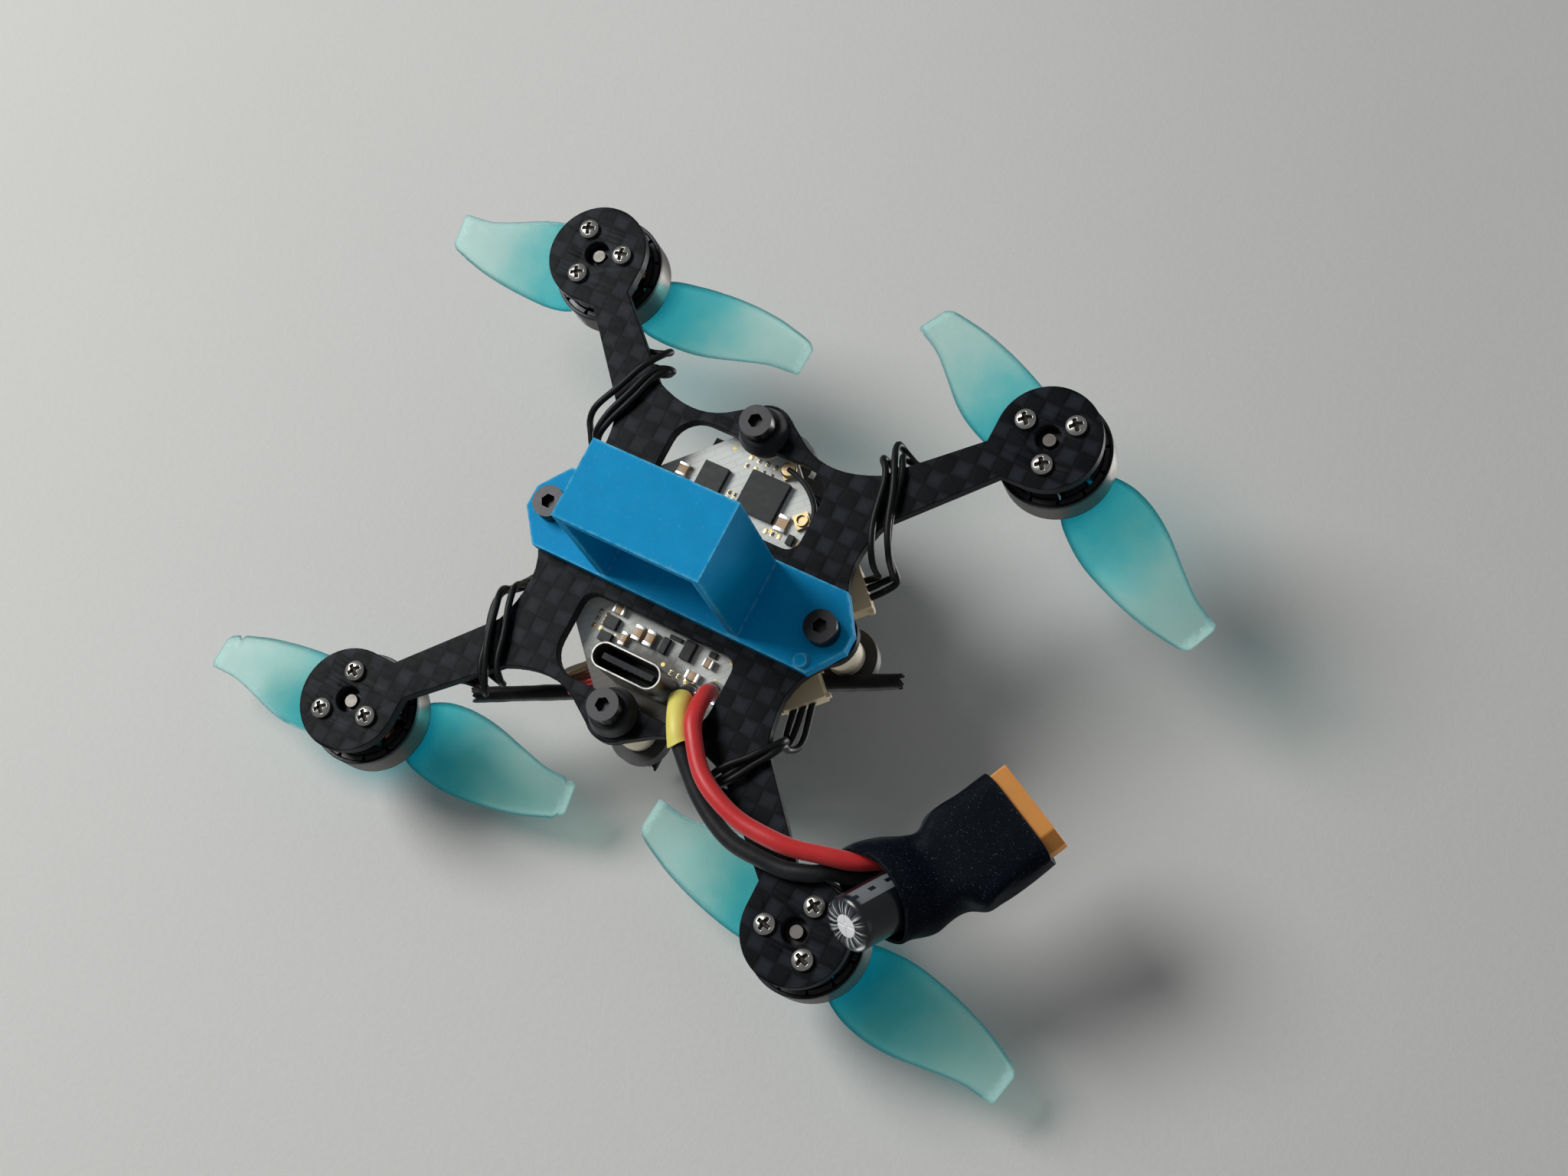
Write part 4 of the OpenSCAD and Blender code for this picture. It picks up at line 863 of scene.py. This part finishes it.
RED_PATH = smooth_line([(8.2, 10.9, 2.9), (8.5, 11.6, 0.4), (9.3, 13.6, -1.7), (10.6, 16.4, -2.9),
    (14.2, 20.2, -3.25), (19.2, 22.4, -3.3), (25, 22.9, -3.25), (29.4, 21.9, -2.3), (33, 20.8, -1.1),
    (35.6, 19.2, 0.8), (37.6, 18.6, 1.9), (38.5, 17.9, 2)], 8)
BLACK_PATH = smooth_line([(5.7, 12.3, 2.9), (6.3, 13.4, 0.2), (8.2, 16.4, -1.6), (10, 18.7, -1.5),
    (14.2, 22.3, -1.2), (19.4, 24.7, -1.12), (25.2, 25.1, -1.12), (28.6, 24.3, -1.12), (30.4, 23.2, -0.7),
    (32.4, 22.4, 0.8), (34.6, 21.2, 2.2), (36.6, 20.2, 3.1), (39.4, 20, 3.4), (42, 20.8, 2.6)], 8)

for name, path, radius, material, node in (
        ("red_power_lead", RED_PATH, 1.0, RED_WIRE, "battery_lead_red"),
        ("black_power_lead", BLACK_PATH, 0.95, BLACK_WIRE, "battery_lead_black")):
    piece = Build()
    line = wobble(path, 0.05, len(name))
    piece.tube(line[4:], lambda s, r=radius: r * (1 + 0.02 * sin(40 * s)), 24)
    piece.tube(line[:6], 0.62, 14, slot=1)
    ball = Matrix.Translation(line[0] - Vector((0, 0, 0.05)))
    piece.lathe([(0.02, -1.35), (0.7, -1.1), (1.05, -0.7), (1.25, -0.3), (1.4, 0.1), (0.02, 0.14)], ball,
        24, slot=1)
    piece.finish(name, [material, SOLDER], node)

# Loose yellow sleeve over the black lead, its cut ends a little flared
piece = Build()
line = BLACK_PATH[8:23]
outer, inner = [], []
for radius, rings in ((1.3, outer), (1.06, inner)):
    for i, (p, (t, u, v)) in enumerate(zip(line, frames(line))):
        s = i / (len(line) - 1)
        size = radius + 0.10 * (abs(2 * s - 1) ** 5)
        cut = 0.14 if i in (0, len(line) - 1) else 0
        rings.append([p + (u * ca * (1 + 0.05 * sin(3 * s)) + v * sa)
                      * (size + 0.03 * sin(2 * a + 5 * s)) + t * cut * sin(2 * a + 1)
                      for ca, sa, a in circle(28)])
piece.sheath(outer, inner)
piece.finish("yellow_sleeving", YELLOW, "lead_sleeve", sharp=60)

# Heat-shrink over the plug's rear: square on the plug, pinched behind it, then
# round and gaping. Distance behind the mouth, sideways shift, half width, half
# depth, roundness, turn of the section and its dip towards the belly
SLEEVE = [(1.9, 0.0, 5.75, 3.08, 0.33, 0, 0.0), (5.6, -0.1, 5.80, 3.15, 0.34, 0, 0.2),
    (8.8, -0.2, 5.90, 3.25, 0.40, 1, 0.45), (10.5, -0.25, 5.80, 3.25, 0.50, 2, 0.5),
    (12.1, -0.60, 4.95, 3.35, 0.65, 3, 0.5), (13.8, -1.15, 5.15, 3.80, 0.85, 4, 0.6),
    (16.0, -1.85, 5.95, 4.45, 0.95, 2, 1.0), (18.0, -2.40, 6.05, 4.62, 1.0, -1, 1.7),
    (19.4, -2.60, 5.95, 4.60, 1.0, -3, 2.3)]
MOUTH = Vector((47, 6.93, 2))
BACK = Vector((-0.443, 0.896, 0)).normalized()
ASIDE = Vector((0.896, 0.443, 0)).normalized()


def sleeve_rings(inset, around=72, per_span=6):
    """Rings of the heat-shrink between its sections, with soft folds towards the open end."""
    line = smooth_rows(SLEEVE, per_span)
    rings = []
    for i, (back, shift, hw, hh, power, turn, dip) in enumerate(line):
        s = i / (len(line) - 1)
        centre = MOUTH + BACK * back + ASIDE * shift - Vector((0, 0, dip))
        lean = Matrix.Rotation(radians(-38 * max(0.0, s - 0.55) / 0.45), 3, ASIDE)
        u = Matrix.Rotation(radians(turn), 3, "Z") @ ASIDE
        v = lean @ Vector((0, 0, -1))
        ring = []
        for ca, sa, a in circle(around):
            fold = (0.035 * s * sin(3 * a + 4 * s) + 0.012 * sin(21 * s + 5 * sa)
                + 0.008 * sin(7 * a + 15 * s))
            wall = inset * min(1.0, 0.8 + 3 * s)
            x = (hw - wall) * copysign(abs(ca) ** power, ca) * (1 + fold)
            y = (hh - wall) * copysign(abs(sa) ** power, sa) * (1 + fold)
            end = (0.22 * sin(2 * a + 0.7) * max(0.0, s - 0.9) * 10 + 0.35 * abs(x / hw) ** 8 * max(0.0,
                1 - 9 * s))
            ring.append(centre + u * x + v * y + u.cross(v) * end)
        rings.append(ring)
    return rings


piece = Build()
outer, inner = sleeve_rings(0.0), sleeve_rings(0.42)
piece.sheath(outer, inner)
piece.finish("wrinkled_heat_shrink", SHRINK, "plug_sleeve", sharp=55)

# Capacitor: can with a rolled rim and a shallow cross score, in its shrink jacket
CAN_AXIS = Vector((-0.29, 0.70, -0.655)).normalized()
CAN_TOP = Vector((36.1, 27.4, -4.36))
can = Matrix.Translation(CAN_TOP) @ CAN_AXIS.to_track_quat("Z", "Y").to_matrix().to_4x4()


def scored(x, y):
    r = hypot(x, y)
    rim = 0.32 * max(0.0, (r - 2.35) / 0.63) ** 2
    spin_x, spin_y = x * 0.8 + y * 0.6, y * 0.8 - x * 0.6
    groove = max(0.0, 1 - min(abs(spin_x), abs(spin_y)) / 0.13) if 0.25 < r < 2.0 else 0.0
    return -rim - 0.10 * groove + 0.03 * cos(r * 1.4)


piece = Build()
piece.dome(can, 2.98, scored, -7.7, 72, 40)
piece.finish("scored_can", ALUMINIUM, "capacitor_can", sharp=60)
piece = Build()
piece.lathe([(1.32, 0.02), (1.6, 0.12), (2.3, 0.10), (2.78, -0.08), (3.05, -0.34), (3.14, -0.62),
    (3.13, -1.2), (3.15, -4), (3.13, -6.2), (3.05, -6.6), (3.13, -7.0), (3.13, -7.6), (2.95, -8.0),
    (2.2, -8.0), (2.2, -7.9), (2.99, -7.85), (3.01, -0.6), (2.8, -0.24), (2.2, 0.0), (1.5, 0.0),
    (1.32, 0.02)], can, 72, caps=(False, False))
piece.finish("capacitor_shrink", jacket_finish("capacitor_jacket_print", CAN_TOP, CAN_AXIS),
    "capacitor_jacket", sharp=50)


# ---------------- antennas and camera wires

def frayed_tube(name, start, end, node, seed):
    """Shrink tube over a coax: ragged open ends and the wire's braid showing inside."""
    rng = random.Random(seed)
    start, end = Vector(start), Vector(end)
    line = [start + (end - start) * k / 60 for k in range(61)]
    outer, inner = [], []
    for i, (p, (t, u, v)) in enumerate(zip(line, frames(line))):
        last = i in (0, 60)
        swell = 0.03 * sin(i * 0.7) + 0.02 * sin(i * 1.9 + 1)
        outer.append([])
        inner.append([])
        for ca, sa, _ in circle(20):
            away = u * ca + v * sa
            jag = t * ((0.9 * rng.random() - 0.35) * (1 if i else -1) if last else 0)
            outer[-1].append(p + away * (0.94 + swell) + jag)
            inner[-1].append(p + away * (0.62 + swell) + jag)
    tube = Build()
    tube.sheath(outer, inner)
    along = (end - start).normalized()
    tube.tube([start + along * 2, end - along * 1.4], 0.55, 14, slot=1)
    tube.tube([start + along * 1.2, start + along * 3], 0.28, 10, slot=2)
    return tube.finish(name, [ANTENNA, BLACK_WIRE, BRAID], node, sharp=60)


frayed_tube("receiver_antenna_tube", (-20, 22.6, 8.2), (25.3, 0.1, 8.2), "receiver_antenna", 3)
tilt = radians(-78)
aim = Vector((0, -sin(tilt), cos(tilt)))
root = Vector((0, 6, 14))
frayed_tube("video_antenna_tube", root + aim * 0.5, root + aim * 14.5, "video_antenna", 8)

# Camera wires: from the camera's back down to its plug on the board
def beside_plug(out, z):
    return (-(out - 5.3) / sqrt(2), (out + 5.3) / sqrt(2), z)


piece = Build()
trunk = smooth_line([(0, -4.6, 17.6), (0, -1.5, 16.6), (-0.6, 3.4, 13.4), (-3.6, 8.8, 8.1),
    beside_plug(16.6, 6.6), beside_plug(18.2, 6.1), beside_plug(17.9, 5.2), beside_plug(14.9, 5)], 7)
for slot, j in enumerate((-1, 0, 1)):
    offset = Vector((1, 1, 0)) * 1.1 * j / sqrt(2)
    piece.tube(wobble([p - offset for p in trunk], 0.06, 40 + j), 0.4, 12, slot=slot)
cable = piece.finish("camera_wires", [RED_WIRE, BROWN_WIRE, CREAM], "camera_cable", None)
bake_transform(cable)


# ---------------- camera and small details

piece = Build()
camera = Matrix.Translation((0, -9, 16.7)) @ Matrix.Rotation(radians(-20), 4, "X")
aimed = camera @ Matrix.Rotation(radians(90), 4, "X")
for k in range(36):
    ridge = aimed @ Matrix.Rotation(2 * pi * k / 36, 4, "Z")
    piece.block((4.5, -0.2, 7.3), (4.72, 0.2, 9.6), 0.07, ridge)
piece.lathe([(3.25, 8.4), (2.6, 8.25), (2.2, 8.25), (2.2, 8.15), (3.25, 8.15)], aimed, 48, slot=0,
    caps=(False, False))
for x, y in ((-5.6, 5.6), (5.6, 5.6), (-5.6, -5.6), (5.6, -5.6)):
    piece.lathe([(0.9, 4.0), (0.9, 4.1), (0.75, 4.2), (0.45, 4.2), (0.4, 4.05), (0.02, 4.05)],
                aimed @ Matrix.Translation((x, y, 0)), 20, slot=1)
piece.finish("lens_ring_and_case_screws", [CAMERA_BLACK, BLACK_STEEL], body="camera", like="camera_body")

# Gold contacts on the socket's tongue, darkened to brown: painted shade inside the socket
piece = Build()
for side in (-1, 1):
    for k in range(8):
        x = (k - 3.5) * 0.72
        piece.block((x - 0.17, 13 + side * 0.35 - 0.03, -2.3), (x + 0.17, 13 + side * 0.35 + 0.03, 0.6),
            0.01)
piece.finish("socket_contacts", GOLD_IN_PAINTED_SHADE, like="plug_contacts")

# Bare pads and solder round the board, as seen through the plate's windows
piece = Build()
FACE = 3.0
rng = random.Random(12)
for x0, y0, columns, rows, pitch in (
        (-1.2, -14.4, 4, 2, 1.1), (-1.6, -9.2, 3, 3, 0.75), (4.6, -8.3, 3, 1, 0.9),
        (-8.6, 8.0, 2, 3, 0.9), (2.6, 10.9, 4, 1, 1.0)):
    for i in range(columns):
        for j in range(rows):
            x, y = x0 + i * pitch, y0 - j * pitch if y0 < 0 else y0 + j * pitch
            piece.block((x - 0.25, y - 0.3, FACE - 0.03), (x + 0.25, y + 0.3, FACE + 0.05), 0.01)
            if rng.random() < 0.6:
                bead = Matrix.Translation((x, y, FACE))
                piece.lathe([(0.02, -0.22), (0.14, -0.18), (0.23, -0.04), (0.24, 0.02)], bead, 12, slot=1,
                    caps=(True, False))
piece.finish("board_pads", [GOLD, SOLDER], like="antenna_sockets")

# Coax of the receiver antenna, from its socket along the window's edge
piece = Build()
line = smooth_line([(3.9, -15.7, 2.1), (5.2, -15.4, 1.9), (7.0, -14.6, 1.8), (8.6, -13.2, 2.0),
    (9.4, -11.6, 2.2), (9.7, -9.6, 2.5)], 8)
piece.tube(line, 0.33, 12)
piece.lathe([(0.5, 2.62), (0.85, 2.62), (0.95, 2.5), (0.95, 2.1), (0.8, 1.95), (0.02, 1.92)],
            Matrix.Translation((3.9, -15.7, 0)), 28, slot=1)
piece.finish("receiver_coax", [BLACK_WIRE, GOLD], like="receiver_antenna")


# ---------------- stage, light and camera

def one_sided(name, height, upward, color, fade=None, slant=None, painted_falloff=None):
    """Pale sheet that shows only from the side its normal faces, and neither shades nor tints.
    Its height depends on y. With fade it turns into an even backdrop of that colour far from
    the middle. With slant (low, high) it clears where the line of sight meets it at a cosine
    under those. With falloff (direction, start, end, share) its colour darkens that way, painted
    shade as away from a window."""
    s = Shader(name)
    p = s.place()
    fibre = s.noise(1.3, 6.0, 0.75, p)
    base = s.mix(s.noise(0.012, 4.0, 0.6, p), tuple(c * 0.93 for c in color), color)
    base = s.mix(s.ramp(fibre, 0.35, 0.8) * 0.12, base, tuple(c * 0.72 for c in color))
    # Painted shade: the colour darkens along the direction, as away from a window.
    if painted_falloff:
        direction, start, end, share = painted_falloff
        base = s.mix(s.ramp(s.dot(p, direction), start, end) * share, base, (0.0, 0.0, 0.0))
    seen = s.surface(Base_Color=base, Roughness=0.72, Specular_IOR_Level=0.3,
        Normal=s.bump(fibre, 0.12, 0.5))
    if fade:
        away = s.vector("LENGTH", p, output="Value")
        seen = s.node("MixShader", s.ramp(away, 170.0, 620.0), seen, s.node("Emission", fade))
    hidden = s.geometry("Backfacing")
    if slant:
        cosine = s.math("ABSOLUTE", s.dot(s.geometry("Incoming"), s.geometry("Normal")))
        hidden = s.math("MAXIMUM", hidden, 1.0 - s.ramp(cosine, *slant))
    corners = [(x * 6.0, y * 6.0, height(y * 6000.0) * MM) for x, y in ((-1, -1), (1, -1), (1, 1), (-1, 1))]
    mesh = bpy.data.meshes.new(name)
    mesh.from_pydata(corners, [], [(0, 1, 2, 3) if upward else (0, 3, 2, 1)])
    mesh.materials.append(s.finish(s.node("MixShader", hidden, seen, s.node("BsdfTransparent"))))
    sheet = bpy.data.objects.new(name, mesh)
    link(sheet)
    sheet.visible_diffuse = sheet.visible_glossy = sheet.visible_transmission = False
    sheet.visible_shadow = False


VIEW = Vector((-0.355, -0.153, 0.922)).normalized()
UP = Vector((-0.388, -0.873, -0.295)).normalized()
RIGHT = Vector((0.850, -0.462, 0.2505)).normalized()

BACKDROP = (0.58, 0.58, 0.575)
# Table the belly view looks down on, leaning just clear of the canopy and of the rear
# pair's sweep; it hides from level views. Floor for the views from above.
# The table's colour darkens along RIGHT: painted shade, as away from a window.
one_sided("table", lambda y: 27.5 + (12.8 - 27.5) / 63.0 * (y + 6), False, (0.60, 0.60, 0.585),
          slant=(0.47, 0.555), painted_falloff=(RIGHT, 10.0, 105.0, 0.10))
one_sided("floor", lambda y: -18.6, True, (0.66, 0.65, 0.63), fade=BACKDROP)

MIDDLE = Vector((0.0, 0.0, 0.004))
window = (-0.80 * RIGHT + 0.66 * UP - 0.52 * VIEW).normalized()
fill = (0.8 * RIGHT - 0.3 * UP - 0.7 * VIEW).normalized()
for name, place, size, power, color in (
        ("window", MIDDLE + window * 0.75, 0.40, 5.2, (1.0, 1.0, 0.985)),
        ("belly_fill", MIDDLE + fill * 0.9, 0.7, 0.35, (0.94, 0.97, 1.0)),
        ("upper_key", Vector((0.42, -0.42, 0.62)), 0.40, 4.6, (1.0, 0.98, 0.95)),
        ("upper_fill", Vector((-0.6, -0.1, 0.45)), 0.6, 1.8, (0.92, 0.96, 1.0)),
        ("rear_rim", Vector((0.05, 0.7, 0.4)), 0.4, 2.0, (1.0, 1.0, 1.0))):
    light = bpy.data.lights.new(name, "AREA")
    light.shape = "DISK"
    light.size, light.energy, light.color = size, power, color
    lamp = bpy.data.objects.new(name, light)
    lamp.location = place
    lamp.rotation_euler = (MIDDLE - place).to_track_quat("-Z", "Y").to_euler()
    link(lamp)

world = bpy.data.worlds.new("studio")
world.use_nodes = True
sky = world.node_tree
glow = sky.nodes["Background"]
glow.inputs["Color"].default_value = (0.80, 0.81, 0.83, 1)
glow.inputs["Strength"].default_value = 0.25
backdrop = sky.nodes.new("ShaderNodeBackground")
backdrop.inputs["Color"].default_value = (*BACKDROP, 1)
either = sky.nodes.new("ShaderNodeMixShader")
for source, target in ((sky.nodes.new("ShaderNodeLightPath").outputs["Is Camera Ray"], either.inputs[0]),
                       (glow.outputs[0], either.inputs[1]), (backdrop.outputs[0], either.inputs[2]),
                       (either.outputs[0], sky.nodes["World Output"].inputs["Surface"])):
    sky.links.new(source, target)
bpy.context.scene.world = world

lens = bpy.data.cameras.new("camera")
lens.sensor_width = 36
lens.lens = 51.4
lens.clip_start = 0.01
lens.clip_end = 20
shot = bpy.data.objects.new("camera", lens)
turned = Matrix((RIGHT, UP, -VIEW)).transposed().to_4x4()
shot.matrix_world = Matrix.Translation((0.0990, 0.0353, -0.2286)) @ turned
link(shot)
bpy.context.scene.camera = shot
bpy.context.scene.view_settings.view_transform = "Standard"
